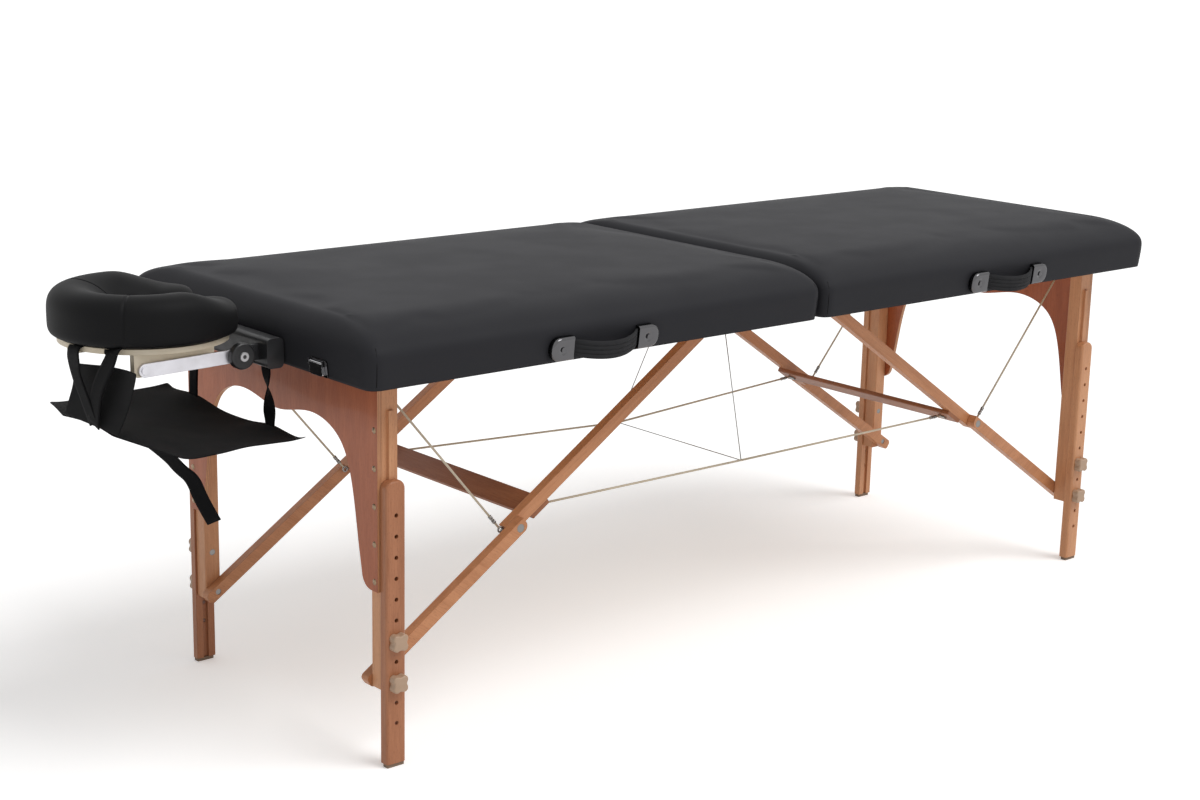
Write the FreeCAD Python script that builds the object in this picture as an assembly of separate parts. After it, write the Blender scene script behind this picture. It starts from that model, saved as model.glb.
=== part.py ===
import FreeCAD, Part
import math
import os

os.makedirs("parts", exist_ok=True)
V = FreeCAD.Vector

# Folding massage table, in millimetres: +Z up, floor at Z = 0, the centre hinge above X = 0,
# the head end and its face cradle at -X, the foot end at +X, and the carrying handles at -Y.

# Padded top
table_length = 1860.0
table_width = 703.0
underside_height = 611.0
top_depth = 93.0
centre_gap = 0.4
cover_thickness = 1.5
cover_slack = 0.3
side_draw_in = 5.0
edge_depth = 44.0
edge_steps = 6
end_roll = 34.0
side_roll = 110.0
crown = 3.0
crown_reach = 200.0
crown_shares = (0.35, 0.7, 1.0)
corner_radius = 22.0
roll_corner_radius = 30.0

# Wooden frame of each half
rail_thickness = 18.0
rail_height = 52.0
rail_inset = 6.8
rail_corner_radius = 15.0
deck_thickness = 4.0

# Centre hinges
hinge_from_side = 131.5
mortise_clearance = 0.1
cover_notch_clearance = 0.5
hinge_width = 60.0
hinge_leaf_reach = 34.0
hinge_leaf_thickness = 2.0
hinge_barrel_radius = 5.0
hinge_pin_radius = 3.0
hinge_axis_drop = 0.5
hinge_knuckle_gap = 0.3

# Legs, from the outside of the table inwards: extension, upper leg, lower brace, upper brace
leg_inset = 86.5
leg_width = 28.0
leg_thickness = 28.0
leg_foot_height = 122.0
leg_head_above_pivot = 12.0
leg_edge_radius = 2.0
leg_pivot_inboard = 3.0
leg_side_inset = 58.9
extension_width = 35.0
extension_thickness = 16.5
extension_top_height = 455.0
extension_top_radius = 14.0
extension_edge_radius = 5.0
lap_gap = 0.6
tongue_width = 9.0
tongue_height = 5.0
tongue_top_height = 560.0
groove_clearance = 0.4
hole_count = 11
hole_pitch = 33.0
hole_first_height = 401.5
hole_radius = 3.4
bolt_radius = 3.0
bolt_head_radius = 5.2
bolt_head_height = 3.5
bolt_clearance = 0.1
bolt_sink = 1.0
upper_bolt_hole = 7
lower_bolt_hole = 9
pad_height = 6.0
pad_margin = 2.0
pad_edge_radius = 1.5

# Star knobs
knob_lobes = 4
knob_lobe_radius = 6.5
knob_lobe_offset = 9.5
knob_valley_radius = 7.0
knob_thickness = 13.0
knob_edge_radius = 2.5
knob_gap = 0.4
knob_cap = 3.5

# Arched end panels
panel_thickness = 8.0
panel_fold_clearance = 2.0
panel_top_drop = 13.0
panel_height = 318.0
panel_edge_margin = 0.2
panel_foot_width = 46.5
panel_foot_rise = 47.0
panel_foot_radius = 24.0
# The arch's points: how far in from the legs' outer faces, and how far below the top's underside.
arch_waist = (68.5, 171.0)
arch_haunch = (93.5, 119.0)
arch_shoulder = (177.5, 87.0)
arch_centre_drop = 101.0
screw_count = 5
screw_above_foot = 15.0
screw_pitch = 58.7
screw_from_edge = 8.5
screw_head_radius = 5.0
screw_head_height = 2.0
screw_shank_radius = 2.0
screw_length = 22.0

# Folding braces
brace_thickness = 17.0
brace_depth = 21.0
brace_gap = 0.5
brace_pivot_x = 75.0
brace_rise = 12.0
brace_end_past_knuckle = 14.0
brace_tail = 22.0
brace_tail_radius = 7.0
flat_between_rounds = 0.1
crossbar_width = 40.0
crossbar_thickness = 8.0
crossbar_from_knuckle = 35.0
crossbar_edge_radius = 2.0
knuckle_pin_radius = 3.5
knuckle_head_radius = 7.0
knuckle_head_height = 4.0
running_clearance = 0.05

# Steel pivot brackets under the deck
pivot_radius = 4.0
bracket_plate = 2.5
bracket_ear = 3.0
bracket_ear_radius = 12.0
bracket_foot_length = 42.0
pivot_head_radius = 7.0
pivot_head_height = 3.0

# Suspension cables and their fittings
cable_radius = 2.0
cable_bend_radius = 80.0
stay_anchor_from_end = 45.0
stay_anchor_size = 14.0
stay_anchor_depth = 6.0
eye_ring_radius = 4.2
eye_wire_radius = 1.6
eye_shank_radius = 2.0
eye_past_brace = 6.3
eye_above_axis = 8.0
eye_shank_depth = 9.0
staple_inside_brace = 9.5
staple_edge_radius = 1.5
staple_from_knuckle = 55.0
staple_length = 14.0
staple_width = 10.0
staple_depth = 3.0
cable_draw_in = 35.0
cable_mid_rise = 2.0
tie_radius = 0.9
tie_hook_x = 16.0
near_tie_top_y = -118.0
far_tie_top_y = 10.0
seat_gap = 0.3

# Carrying handles and case latch
handle_from_centre = 494.0
handle_cap_spacing = 174.0
handle_above_underside = 22.0
cap_width = 42.0
cap_height = 36.0
cap_depth = 9.0
cap_wall = 2.0
cap_nose_radius = 16.0
cap_nose_wall = 6.0
strap_width = 28.0
strap_thickness = 5.0
strap_bow = 24.0
strap_sag = 4.5
strap_clearance = 0.5
rivet_radius = 4.0
rivet_height = 2.0
latch_from_side = 133.5
latch_above_underside = 1.0
latch_pin_from_top = 5.0
latch_width = 46.0
latch_height = 26.0
latch_plate_thickness = 2.5
latch_lever_width = 34.0
latch_lever_height = 19.0
latch_lever_thickness = 5.0
latch_pin_radius = 1.2
latch_ear_thickness = 3.0
latch_ear_height = 7.0
catch_width = 18.0
catch_height = 5.0
catch_depth = 4.0
latch_corner_radius = 4.0

# Face cradle
post_radius = 8.0
post_y = 100.0
post_above_underside = 20.0
post_insertion = 60.0
post_hole_clearance = 0.3
post_bore_length = 60.0
cover_hole_clearance = 1.5
base_length = 29.0
base_half_width = 128.0
base_height = 46.0
base_edge_radius = 8.0
base_from_end = 1.0
clamp_from_end = 65.0
lug_thickness = 8.0
lug_radius = 12.0
arm_length = 155.0
arm_height = 20.0
arm_thickness = 5.0
arm_gap = 0.4
arm_drop = 3.0
disc_radius = 20.0
disc_thickness = 11.0
disc_edge_radius = 3.0
disc_screw_radius = 7.0
disc_screw_height = 2.5
cradle_pin_radius = 4.0
cradle_rivet_rim = 2.5
plate_height_above_arms = 10.5
plate_thickness = 8.0
plate_inset = 14.0
plate_rail_thickness = 12.0
plate_rail_inner_end = 115.0
plate_rail_outer_end = 15.0
plate_rail_radius = 6.0
face_ring_radius = 97.5
face_half_width = 42.5
face_gap = 44.0
face_centre_from_end = 162.0
face_depth = 67.0

# Each level of the face cushion: share of its depth, inset of its outline.
face_levels = [(0.0, 9.0), (0.1, 2.0), (0.38, 0.0), (0.62, 2.0), (0.8, 8.0), (0.92, 16.0), (1.0, 28.0)]

# Arm sling hung under the cradle; heights are counted up from the top's underside
# Each station of the panel: distance from the table's end, half width, height of its edges and of its middle.
sling_stations = [(12.0, 206.0, -96.0, -100.0), (130.0, 206.0, -91.0, -105.0),
                  (220.0, 206.0, -96.0, -87.0), (260.0, 75.0, -76.0, -73.0)]
sling_thickness = 2.5
sling_strap_width = 22.0
sling_strap_y = 113.0
sling_strap_from_end = 18.0
yoke_outline = [(70.0, -78.0), (-92.0, -77.0), (-150.0, 23.0), (-66.0, 40.0), (30.0, 40.0)]
yoke_lap = 1.0
tail_width = 22.0
tail_y = -96.0
tail_points = [(208.0, -92.0), (174.0, -127.0), (147.0, -153.0), (110.0, -229.0)]

# How far cutting tools run past the faces they cut
overcut = 1.0

# Values that follow from the sizes above
half_length = table_length / 2
half_width = table_width / 2
top_height = underside_height + top_depth
shoulder_height = top_height - crown - edge_depth
deck_underside = underside_height + rail_height
deck_top = deck_underside + deck_thickness
hinge_axis_z = underside_height - hinge_axis_drop
hinge_offset_y = half_width - hinge_from_side
leg_x = half_length - leg_inset
extension_outer_y = half_width - leg_side_inset
leg_outer_y = extension_outer_y - extension_thickness - lap_gap
leg_inner_y = leg_outer_y - leg_thickness
lower_brace_outer_y = leg_inner_y - brace_gap
lower_brace_inner_y = lower_brace_outer_y - brace_thickness
upper_brace_outer_y = lower_brace_inner_y - brace_gap
upper_brace_inner_y = upper_brace_outer_y - brace_thickness
stay_y = (upper_brace_inner_y + upper_brace_outer_y) / 2
staple_y = upper_brace_inner_y - staple_inside_brace
cable_mid_y = staple_y - cable_draw_in
panel_top_height = underside_height - panel_top_drop
panel_bottom_height = panel_top_height - panel_height
latch_y = latch_from_side - half_width
upper_bolt_z = hole_first_height - (upper_bolt_hole - 1) * hole_pitch
lower_bolt_z = hole_first_height - (lower_bolt_hole - 1) * hole_pitch
folded_leg_z = underside_height + panel_fold_clearance + panel_thickness + leg_width / 2
leg_pivot = V(leg_x - leg_pivot_inboard, 0, folded_leg_z + leg_pivot_inboard)
brace_pivot = V(brace_pivot_x, 0, folded_leg_z + brace_rise)
low_pivot = V(leg_x, 0, lower_bolt_z)
brace_half = brace_depth / 2
round_end = brace_half - flat_between_rounds

# The two braces lie in one line when the leg stands, and lie flat side by side when it is folded.
folded_low_pivot = V(leg_pivot.x - (leg_pivot.z - low_pivot.z), 0, folded_leg_z)
open_span = (low_pivot - brace_pivot).Length
folded_offset = brace_pivot - folded_low_pivot
upper_brace_length = (open_span ** 2 - folded_offset.Length ** 2) / (2 * (folded_offset.x + open_span))
lower_brace_length = open_span - upper_brace_length
brace_line = (low_pivot - brace_pivot).normalize()
brace_normal = V(-brace_line.z, 0, brace_line.x)
knuckle = brace_pivot + brace_line * upper_brace_length
cable_mid_height = knuckle.z + cable_mid_rise
folded_knuckle = brace_pivot + V(upper_brace_length, 0, 0)
brace_angle = math.degrees(math.atan2(-brace_line.z, brace_line.x))
folded_low_line = folded_knuckle - folded_low_pivot
lower_brace_turn = 180 - brace_angle - math.degrees(math.atan2(folded_low_line.z, folded_low_line.x))

print("leg pivot", leg_pivot, "brace pivot", brace_pivot, "low pivot", low_pivot)
print("upper brace", round(upper_brace_length, 3), "lower brace", round(lower_brace_length, 3))
print("knuckle", knuckle, "upper brace turns", round(brace_angle, 4))
print("lower brace turns on its leg", round(lower_brace_turn - 90, 4))


# Shared shapes

def box(x0, x1, y0, y1, z0, z1):
    return Part.makeBox(x1 - x0, y1 - y0, z1 - z0, V(x0, y0, z0))


def rod_y(x, z, y0, y1, radius):
    return Part.makeCylinder(radius, y1 - y0, V(x, y0, z), V(0, 1, 0))


def bore_y(x, z, y0, y1, radius):
    return rod_y(x, z, y0 - overcut, y1 + overcut, radius)


def rod_between(start, end, radius):
    return Part.makeCylinder(radius, (end - start).Length, start, end - start)


def flip_x(shape):
    return shape.mirror(V(0, 0, 0), V(1, 0, 0))


def flip_y(shape):
    return shape.mirror(V(0, 0, 0), V(0, 1, 0))


def pair(shapes):
    return Part.makeCompound(shapes + [flip_y(shape) for shape in shapes])


def cut_all(shape, tools):
    for tool in tools:
        shape = shape.cut(tool)
    return shape


def rounded_outline(points, radii):
    # A closed wire through the points, each corner rounded by its radius (0 keeps it sharp).
    starts = []
    ends = []
    middles = []
    for i, corner in enumerate(points):
        back = (points[i - 1] - corner).normalize()
        ahead = (points[(i + 1) % len(points)] - corner).normalize()
        half_angle = back.getAngle(ahead) / 2
        reach = radii[i] / math.tan(half_angle)
        centre = corner + (back + ahead).normalize() * (radii[i] / math.sin(half_angle))
        starts.append(corner + back * reach)
        ends.append(corner + ahead * reach)
        middles.append(centre + (corner - centre).normalize() * radii[i] if radii[i] else corner)
    edges = []
    for i, radius in enumerate(radii):
        if radius:
            edges.append(Part.Arc(starts[i], middles[i], ends[i]).toShape())
        edges.append(Part.LineSegment(ends[i], starts[(i + 1) % len(points)]).toShape())
    return Part.Wire(edges)


def rounded_rectangle(x0, x1, y0, y1, z, radius):
    corners = [V(x0, y0, z), V(x1, y0, z), V(x1, y1, z), V(x0, y1, z)]
    return rounded_outline(corners, [radius] * 4)


def plate_from(wire, depth):
    return Part.Face(wire).extrude(depth)


def upright_edges(shape, test):
    # Edges along Z whose place satisfies the test.
    found = []
    for edge in shape.Edges:
        first, last = edge.Vertexes[0].Point, edge.Vertexes[-1].Point
        along_z = math.hypot(first.x - last.x, first.y - last.y) < 1e-6
        if along_z and test(first):
            found.append(edge)
    return found


# Padded top: foot half, mirrored for the head half

def cushion_levels(shrink):
    # Height, inset from the ends, inset from the sides and corner radius, all the way up. The edge is
    # a quarter of an ellipse, much wider on the long sides. Inner layers shrink.
    depth = edge_depth - shrink
    levels = []
    for height, inset in ((underside_height, side_draw_in), (shoulder_height, 0)):
        levels.append((height, inset + shrink, inset + shrink, corner_radius - inset - shrink))
    for step in range(1, edge_steps + 1):
        angle = math.radians(90 * step / edge_steps)
        share = 1 - math.cos(angle)
        radius = corner_radius + (roll_corner_radius - corner_radius) * share - shrink
        levels.append((shoulder_height + depth * math.sin(angle), shrink + (end_roll - shrink) * share,
                       shrink + (side_roll - shrink) * share, radius))
    for share in crown_shares:
        rise = crown * (1 - (1 - share) ** 2)
        levels.append((shoulder_height + depth + rise, end_roll + crown_reach * share,
                       side_roll + crown_reach * share, roll_corner_radius - shrink))
    return levels


def cushion_solid(shrink, foot_drop):
    wires = []
    for i, (height, from_end, from_side, radius) in enumerate(cushion_levels(shrink)):
        z = height - foot_drop if i == 0 else height
        wires.append(rounded_rectangle(centre_gap / 2 + from_end, half_length - from_end,
                                       from_side - half_width, half_width - from_side, z, radius))
    return Part.makeLoft(wires, True, True)


def hinge_mortise(clearance):
    return box(0, hinge_leaf_reach + clearance, hinge_offset_y - hinge_width / 2 - clearance,
               hinge_offset_y + hinge_width / 2 + clearance, underside_height - overcut,
               underside_height + hinge_leaf_thickness + clearance)


def make_cover():
    shell = cushion_solid(0, 0).cut(cushion_solid(cover_thickness, overcut))
    mortise = hinge_mortise(cover_notch_clearance)
    return cut_all(shell, [mortise, flip_y(mortise)])


def make_foam():
    above_deck = box(0, half_length, -half_width, half_width, deck_top, top_height)
    return cushion_solid(cover_thickness + cover_slack, 0).common(above_deck)


def frame_block(z0, z1):
    wire = rounded_rectangle(centre_gap / 2 + rail_inset, half_length - rail_inset, rail_inset - half_width,
                             half_width - rail_inset, z0, rail_corner_radius)
    return plate_from(wire, V(0, 0, z1 - z0))


def make_rails():
    block = frame_block(underside_height, deck_underside)
    inner = rail_inset + rail_thickness
    x0, x1 = centre_gap / 2 + inner, half_length - inner
    y1 = half_width - inner
    side = block.common(box(0, half_length, y1, half_width, underside_height, deck_underside))
    end = block.common(box(x1, half_length, -y1, y1, underside_height, deck_underside))
    centre = block.common(box(0, x0, -y1, y1, underside_height, deck_underside))
    mortise = hinge_mortise(mortise_clearance)
    centre = cut_all(centre, [mortise, flip_y(mortise)])
    return [side, flip_y(side), end, centre]


def make_hinge_leaf(inner_knuckle):
    # One leaf of a butt hinge: the middle knuckle, or the two outer ones.
    third = hinge_width / 3
    y0 = hinge_offset_y - hinge_width / 2
    start = hinge_barrel_radius + 2 * hinge_knuckle_gap
    leaf = box(start, hinge_leaf_reach, y0, y0 + hinge_width, underside_height,
               underside_height + hinge_leaf_thickness)
    spans = [(1, 2)] if inner_knuckle else [(0, 1), (2, 3)]
    for first, last in spans:
        a = y0 + first * third + (hinge_knuckle_gap if first else 0)
        b = y0 + last * third - (hinge_knuckle_gap if last < 3 else 0)
        tab = box((hinge_pin_radius + hinge_barrel_radius) / 2, start + overcut, a, b, underside_height,
                  underside_height + hinge_leaf_thickness)
        leaf = leaf.fuse(tab).fuse(rod_y(0, hinge_axis_z, a, b, hinge_barrel_radius))
    return leaf.cut(bore_y(0, hinge_axis_z, y0, y0 + hinge_width, hinge_pin_radius + running_clearance))


def make_hinge_pin():
    half = hinge_width / 2
    return rod_y(0, hinge_axis_z, hinge_offset_y - half, hinge_offset_y + half, hinge_pin_radius)


# Steel brackets under the deck, with their pivot bolts

def make_bracket(pivot, inner_y, outer_y):
    inner_ear = inner_y - lap_gap - bracket_ear
    outer_ear = outer_y + lap_gap
    solid = box(pivot.x - bracket_foot_length / 2, pivot.x + bracket_foot_length / 2, inner_ear,
                outer_ear + bracket_ear, deck_underside - bracket_plate, deck_underside)
    for y in (inner_ear, outer_ear):
        ear = box(pivot.x - bracket_ear_radius, pivot.x + bracket_ear_radius, y, y + bracket_ear, pivot.z,
                  deck_underside - bracket_plate)
        solid = solid.fuse(ear).fuse(rod_y(pivot.x, pivot.z, y, y + bracket_ear, bracket_ear_radius))
    solid = solid.cut(bore_y(pivot.x, pivot.z, inner_ear, outer_ear + bracket_ear,
                             pivot_radius + running_clearance))
    bolt = rod_y(pivot.x, pivot.z, inner_ear, outer_ear + bracket_ear, pivot_radius)
    for y in (inner_ear - pivot_head_height, outer_ear + bracket_ear):
        bolt = bolt.fuse(rod_y(pivot.x, pivot.z, y, y + pivot_head_height, pivot_head_radius))
    return [solid.removeSplitter(), bolt]


stay_anchor_x = half_length - stay_anchor_from_end


def make_stay_anchor():
    half = stay_anchor_size / 2
    return box(stay_anchor_x - half, stay_anchor_x + half, stay_y - half, stay_y + half,
               deck_underside - stay_anchor_depth, deck_underside)


def make_brackets():
    leg_bracket = make_bracket(leg_pivot, leg_inner_y, leg_outer_y)
    brace_bracket = make_bracket(brace_pivot, upper_brace_inner_y, upper_brace_outer_y)
    return pair(leg_bracket + brace_bracket + [make_stay_anchor()])


# Leg set of the foot half: upper legs, arched panel and fasteners

def screw_places():
    y = leg_outer_y - screw_from_edge
    return [(y, panel_bottom_height + screw_above_foot + i * screw_pitch) for i in range(screw_count)]


panel_face_x = leg_x + leg_width / 2


def screw_bore(y, z):
    start = panel_face_x + panel_thickness
    return Part.makeCylinder(screw_shank_radius + running_clearance, screw_length + overcut,
                             V(start + seat_gap, y, z), V(-1, 0, 0))


def make_upper_leg():
    top = leg_pivot.z + leg_head_above_pivot
    leg = box(leg_x - leg_width / 2, leg_x + leg_width / 2, leg_inner_y, leg_outer_y, leg_foot_height, top)
    leg = leg.makeFillet(leg_edge_radius, upright_edges(leg, lambda point: point.y < leg_outer_y - overcut))
    tongue = box(leg_x - tongue_width / 2, leg_x + tongue_width / 2, leg_outer_y, leg_outer_y + tongue_height,
                 leg_foot_height, tongue_top_height)
    leg = leg.fuse(tongue)
    tools = [bore_y(leg_pivot.x, leg_pivot.z, leg_inner_y, leg_outer_y, pivot_radius + running_clearance)]
    for z in (upper_bolt_z, lower_bolt_z):
        tools.append(bore_y(leg_x, z, leg_inner_y, leg_outer_y + tongue_height, bolt_radius + bolt_clearance))
    head_bed = leg_inner_y + bolt_head_height + bolt_clearance
    tools.append(rod_y(leg_x, upper_bolt_z, leg_inner_y - overcut, head_bed, bolt_head_radius + bolt_clearance))
    return cut_all(leg, tools + [screw_bore(y, z) for y, z in screw_places()])


def segment(start, end):
    return Part.LineSegment(start, end).toShape()


def make_end_panel():
    # Half of the outline, from the top corner down the leg and round its foot, then the arch.
    x = panel_face_x
    outer = leg_outer_y - panel_edge_margin
    foot = panel_bottom_height
    spring = (leg_outer_y - panel_foot_width, foot + panel_foot_rise)
    half = [spring] + [(leg_outer_y - inward, underside_height - drop)
                       for inward, drop in (arch_waist, arch_haunch, arch_shoulder)]
    points = [V(x, y, z) for y, z in half] + [V(x, 0, underside_height - arch_centre_drop)]
    points += [V(x, -y, z) for y, z in reversed(half)]
    arch = Part.BSplineCurve()
    arch.interpolate(points)
    slope = (half[0][0] - half[1][0]) / (half[1][1] - half[0][1])
    toe = V(x, half[0][0] + slope * panel_foot_rise, foot)
    heel, head = V(x, outer, foot), V(x, outer, panel_top_height)
    back, ahead = V(0, 1, 0), (points[0] - toe).normalize()
    half_angle = back.getAngle(ahead) / 2
    reach = panel_foot_radius / math.tan(half_angle)
    centre = toe + (back + ahead).normalize() * (panel_foot_radius / math.sin(half_angle))
    middle = centre + (toe - centre).normalize() * panel_foot_radius
    start, end = toe + back * reach, toe + ahead * reach
    edges = [segment(head, heel), segment(heel, start), segment(end, points[0])]
    edges.append(Part.Arc(start, middle, end).toShape())
    mirrored = [flip_y(edge) for edge in edges]
    top = segment(V(x, -outer, panel_top_height), head)
    wire = Part.Wire(Part.__sortEdges__(edges + [arch.toShape()] + mirrored + [top]))
    panel = plate_from(wire, V(panel_thickness, 0, 0))
    bores = [screw_bore(y, z) for y, z in screw_places()]
    return cut_all(panel, bores + [flip_y(bore) for bore in bores])


def make_panel_screw(y, z):
    face = panel_face_x + panel_thickness
    shank = Part.makeCylinder(screw_shank_radius, screw_length, V(face, y, z), V(-1, 0, 0))
    dome_radius = (screw_head_radius ** 2 + screw_head_height ** 2) / (2 * screw_head_height)
    dome = Part.makeSphere(dome_radius, V(face + screw_head_height - dome_radius, y, z))
    slab = box(face, face + screw_head_height, y - screw_head_radius, y + screw_head_radius,
               z - screw_head_radius, z + screw_head_radius)
    return dome.common(slab).fuse(shank)


bolt_end_y = extension_outer_y + knob_gap + knob_thickness - knob_cap


def make_leg_bolts():
    bolts = []
    starts = (leg_inner_y + bolt_clearance, lower_brace_inner_y + bolt_sink)
    for z, start in zip((upper_bolt_z, lower_bolt_z), starts):
        head = rod_y(leg_x, z, start, start + bolt_head_height - bolt_clearance, bolt_head_radius)
        bolts.append(head.fuse(rod_y(leg_x, z, start, bolt_end_y, bolt_radius)))
    return bolts


# Leg extension, foot pad and knob at the far side of the foot end

def make_extension():
    x0, x1 = leg_x - extension_width / 2, leg_x + extension_width / 2
    inner = extension_outer_y - extension_thickness
    points = [V(x0, inner, pad_height), V(x1, inner, pad_height), V(x1, inner, extension_top_height),
              V(x0, inner, extension_top_height)]
    wire = rounded_outline(points, [0, 0, extension_top_radius, extension_top_radius])
    body = plate_from(wire, V(0, extension_thickness, 0))
    body = body.makeFillet(extension_edge_radius, upright_edges(body, lambda point: point.y > inner + overcut))
    groove_half = tongue_width / 2 + groove_clearance
    groove_bed = leg_outer_y + tongue_height + groove_clearance
    groove = box(leg_x - groove_half, leg_x + groove_half, inner - overcut, groove_bed,
                 pad_height - overcut, extension_top_height + overcut)
    body = body.cut(groove)
    for i in range(hole_count):
        z = hole_first_height - i * hole_pitch
        body = body.cut(bore_y(leg_x, z, inner, extension_outer_y, hole_radius))
    return body


def make_pad():
    x0, x1 = leg_x - extension_width / 2 + pad_margin, leg_x + extension_width / 2 - pad_margin
    y0, y1 = extension_outer_y - extension_thickness + pad_margin, extension_outer_y - pad_margin
    pad = box(x0, x1, y0, y1, 0, pad_height)
    return pad.makeFillet(pad_edge_radius, upright_edges(pad, lambda point: True))


def make_knob(z):
    # Star outline of round lobes joined by round valleys, all tangent, turned out along Y.
    half_step = math.pi / knob_lobes
    across = knob_lobe_offset * math.sin(half_step)
    reach = knob_lobe_radius + knob_valley_radius
    valley_offset = knob_lobe_offset * math.cos(half_step) + math.sqrt(reach ** 2 - across ** 2)
    y0 = extension_outer_y + knob_gap

    def polar(radius, angle):
        return V(leg_x + radius * math.cos(angle), y0, z + radius * math.sin(angle))

    edges = []
    for i in range(knob_lobes):
        angle = (2 * i + 1) * half_step
        lobe = polar(knob_lobe_offset, angle)
        before = polar(valley_offset, angle - half_step)
        after = polar(valley_offset, angle + half_step)
        following = polar(knob_lobe_offset, angle + 2 * half_step)
        start = lobe + (before - lobe).normalize() * knob_lobe_radius
        end = lobe + (after - lobe).normalize() * knob_lobe_radius
        far_end = following + (after - following).normalize() * knob_lobe_radius
        edges.append(Part.Arc(start, polar(knob_lobe_offset + knob_lobe_radius, angle), end).toShape())
        valley = polar(valley_offset - knob_valley_radius, angle + half_step)
        edges.append(Part.Arc(end, valley, far_end).toShape())
    knob = plate_from(Part.Wire(edges), V(0, knob_thickness, 0))
    rim = [edge for edge in knob.Edges if min(v.Point.y for v in edge.Vertexes) > y0 + knob_thickness - 1e-6]
    knob = knob.makeFillet(knob_edge_radius, rim)
    return knob.cut(rod_y(leg_x, z, y0 - overcut, bolt_end_y + seat_gap, bolt_radius + running_clearance))


# Braces of the foot half

def along_upper(distance, offset):
    # Point in the upper brace's own frame: distance from its pivot, offset above its centre line.
    return brace_pivot + brace_line * distance + brace_normal * offset


def along_lower(distance, offset):
    return low_pivot - brace_line * distance + brace_normal * offset


def shifted(points, y):
    return [point + V(0, y, 0) for point in points]


def make_upper_brace():
    tip = upper_brace_length + brace_end_past_knuckle
    points = [along_upper(-brace_half, brace_half), along_upper(tip, brace_half),
              along_upper(tip, -brace_half), along_upper(-brace_half, -brace_half)]
    wire = rounded_outline(shifted(points, upper_brace_inner_y), [round_end, 0, round_end, round_end])
    brace = plate_from(wire, V(0, brace_thickness, 0))
    for point, radius in ((brace_pivot, pivot_radius), (knuckle, knuckle_pin_radius)):
        brace = brace.cut(bore_y(point.x, point.z, upper_brace_inner_y, upper_brace_outer_y,
                                 radius + running_clearance))
    return brace.cut(eye_shank(running_clearance))


def make_crossbar():
    far = upper_brace_length - crossbar_from_knuckle
    near = far - crossbar_width
    under = -brace_half
    points = [along_upper(near, under), along_upper(far, under), along_upper(far, under - crossbar_thickness),
              along_upper(near, under - crossbar_thickness)]
    radii = [0, 0, crossbar_edge_radius, crossbar_edge_radius]
    wire = rounded_outline(shifted(points, -upper_brace_outer_y), radii)
    return plate_from(wire, V(0, 2 * upper_brace_outer_y, 0))


eye_centre = along_upper(upper_brace_length + brace_end_past_knuckle + eye_past_brace, eye_above_axis)


def eye_shank(clearance):
    # The eye's shank goes into the end of the brace, along its length.
    tip = upper_brace_length + brace_end_past_knuckle
    level = brace_half / 2
    start = along_upper(tip - eye_shank_depth - clearance, level) + V(0, stay_y, 0)
    end = along_upper(tip + eye_past_brace, level) + V(0, stay_y, 0)
    return rod_between(start, end, eye_shank_radius + clearance)


def make_brace_fittings():
    ring = Part.makeTorus(eye_ring_radius, eye_wire_radius, eye_centre + V(0, stay_y, 0), V(0, 1, 0))
    eye = ring.fuse(eye_shank(0))
    pin = rod_y(knuckle.x, knuckle.z, upper_brace_inner_y, upper_brace_outer_y, knuckle_pin_radius)
    nut = rod_y(knuckle.x, knuckle.z, upper_brace_inner_y - knuckle_head_height, upper_brace_inner_y,
                knuckle_head_radius)
    middle = upper_brace_length - staple_from_knuckle
    under = -brace_half - crossbar_thickness
    corners = [along_upper(middle - staple_width / 2, under), along_upper(middle + staple_width / 2, under),
               along_upper(middle + staple_width / 2, under - staple_depth),
               along_upper(middle - staple_width / 2, under - staple_depth)]
    wire = rounded_outline(shifted(corners, staple_y - staple_length / 2),
                           [0, 0, staple_edge_radius, staple_edge_radius])
    staple = plate_from(wire, V(0, staple_length, 0))
    return pair([eye, pin.fuse(nut), staple])


def make_lower_brace():
    tip = lower_brace_length + brace_end_past_knuckle
    points = [along_lower(-brace_tail, brace_half), along_lower(tip, brace_half),
              along_lower(tip, -brace_half), along_lower(-brace_tail, -brace_half)]
    wire = rounded_outline(shifted(points, lower_brace_inner_y),
                           [brace_tail_radius, 0, round_end, brace_tail_radius])
    brace = plate_from(wire, V(0, brace_thickness, 0))
    y0, y1 = lower_brace_inner_y, lower_brace_outer_y
    head_bed = y1 - knuckle_head_height - 2 * bolt_clearance
    tools = [bore_y(knuckle.x, knuckle.z, y0, y1, knuckle_pin_radius + running_clearance),
             rod_y(knuckle.x, knuckle.z, head_bed, y1 + overcut, knuckle_head_radius + bolt_clearance),
             bore_y(leg_x, lower_bolt_z, y0, y1, bolt_radius + running_clearance),
             rod_y(leg_x, lower_bolt_z, y0 - overcut, y0 + bolt_sink + bolt_head_height + bolt_clearance,
                   bolt_head_radius + bolt_clearance)]
    return cut_all(brace, tools)


def make_knuckle_bolt():
    outer = lower_brace_outer_y - bolt_clearance
    pin = rod_y(knuckle.x, knuckle.z, lower_brace_inner_y, outer, knuckle_pin_radius)
    head = rod_y(knuckle.x, knuckle.z, outer - knuckle_head_height, outer, knuckle_head_radius)
    return pin.fuse(head)


# Suspension cables: stays from the ends to the knuckles, long cables between the crossbars, thin ties

def make_stay():
    top = V(stay_anchor_x, stay_y, deck_underside - stay_anchor_depth)
    eye = eye_centre + V(0, stay_y, 0)
    line = (top - eye).normalize()
    start = eye + line * (eye_ring_radius + eye_wire_radius + seat_gap)
    end = top - line * (cable_radius + seat_gap)
    return rod_between(start, end, cable_radius)


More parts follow.
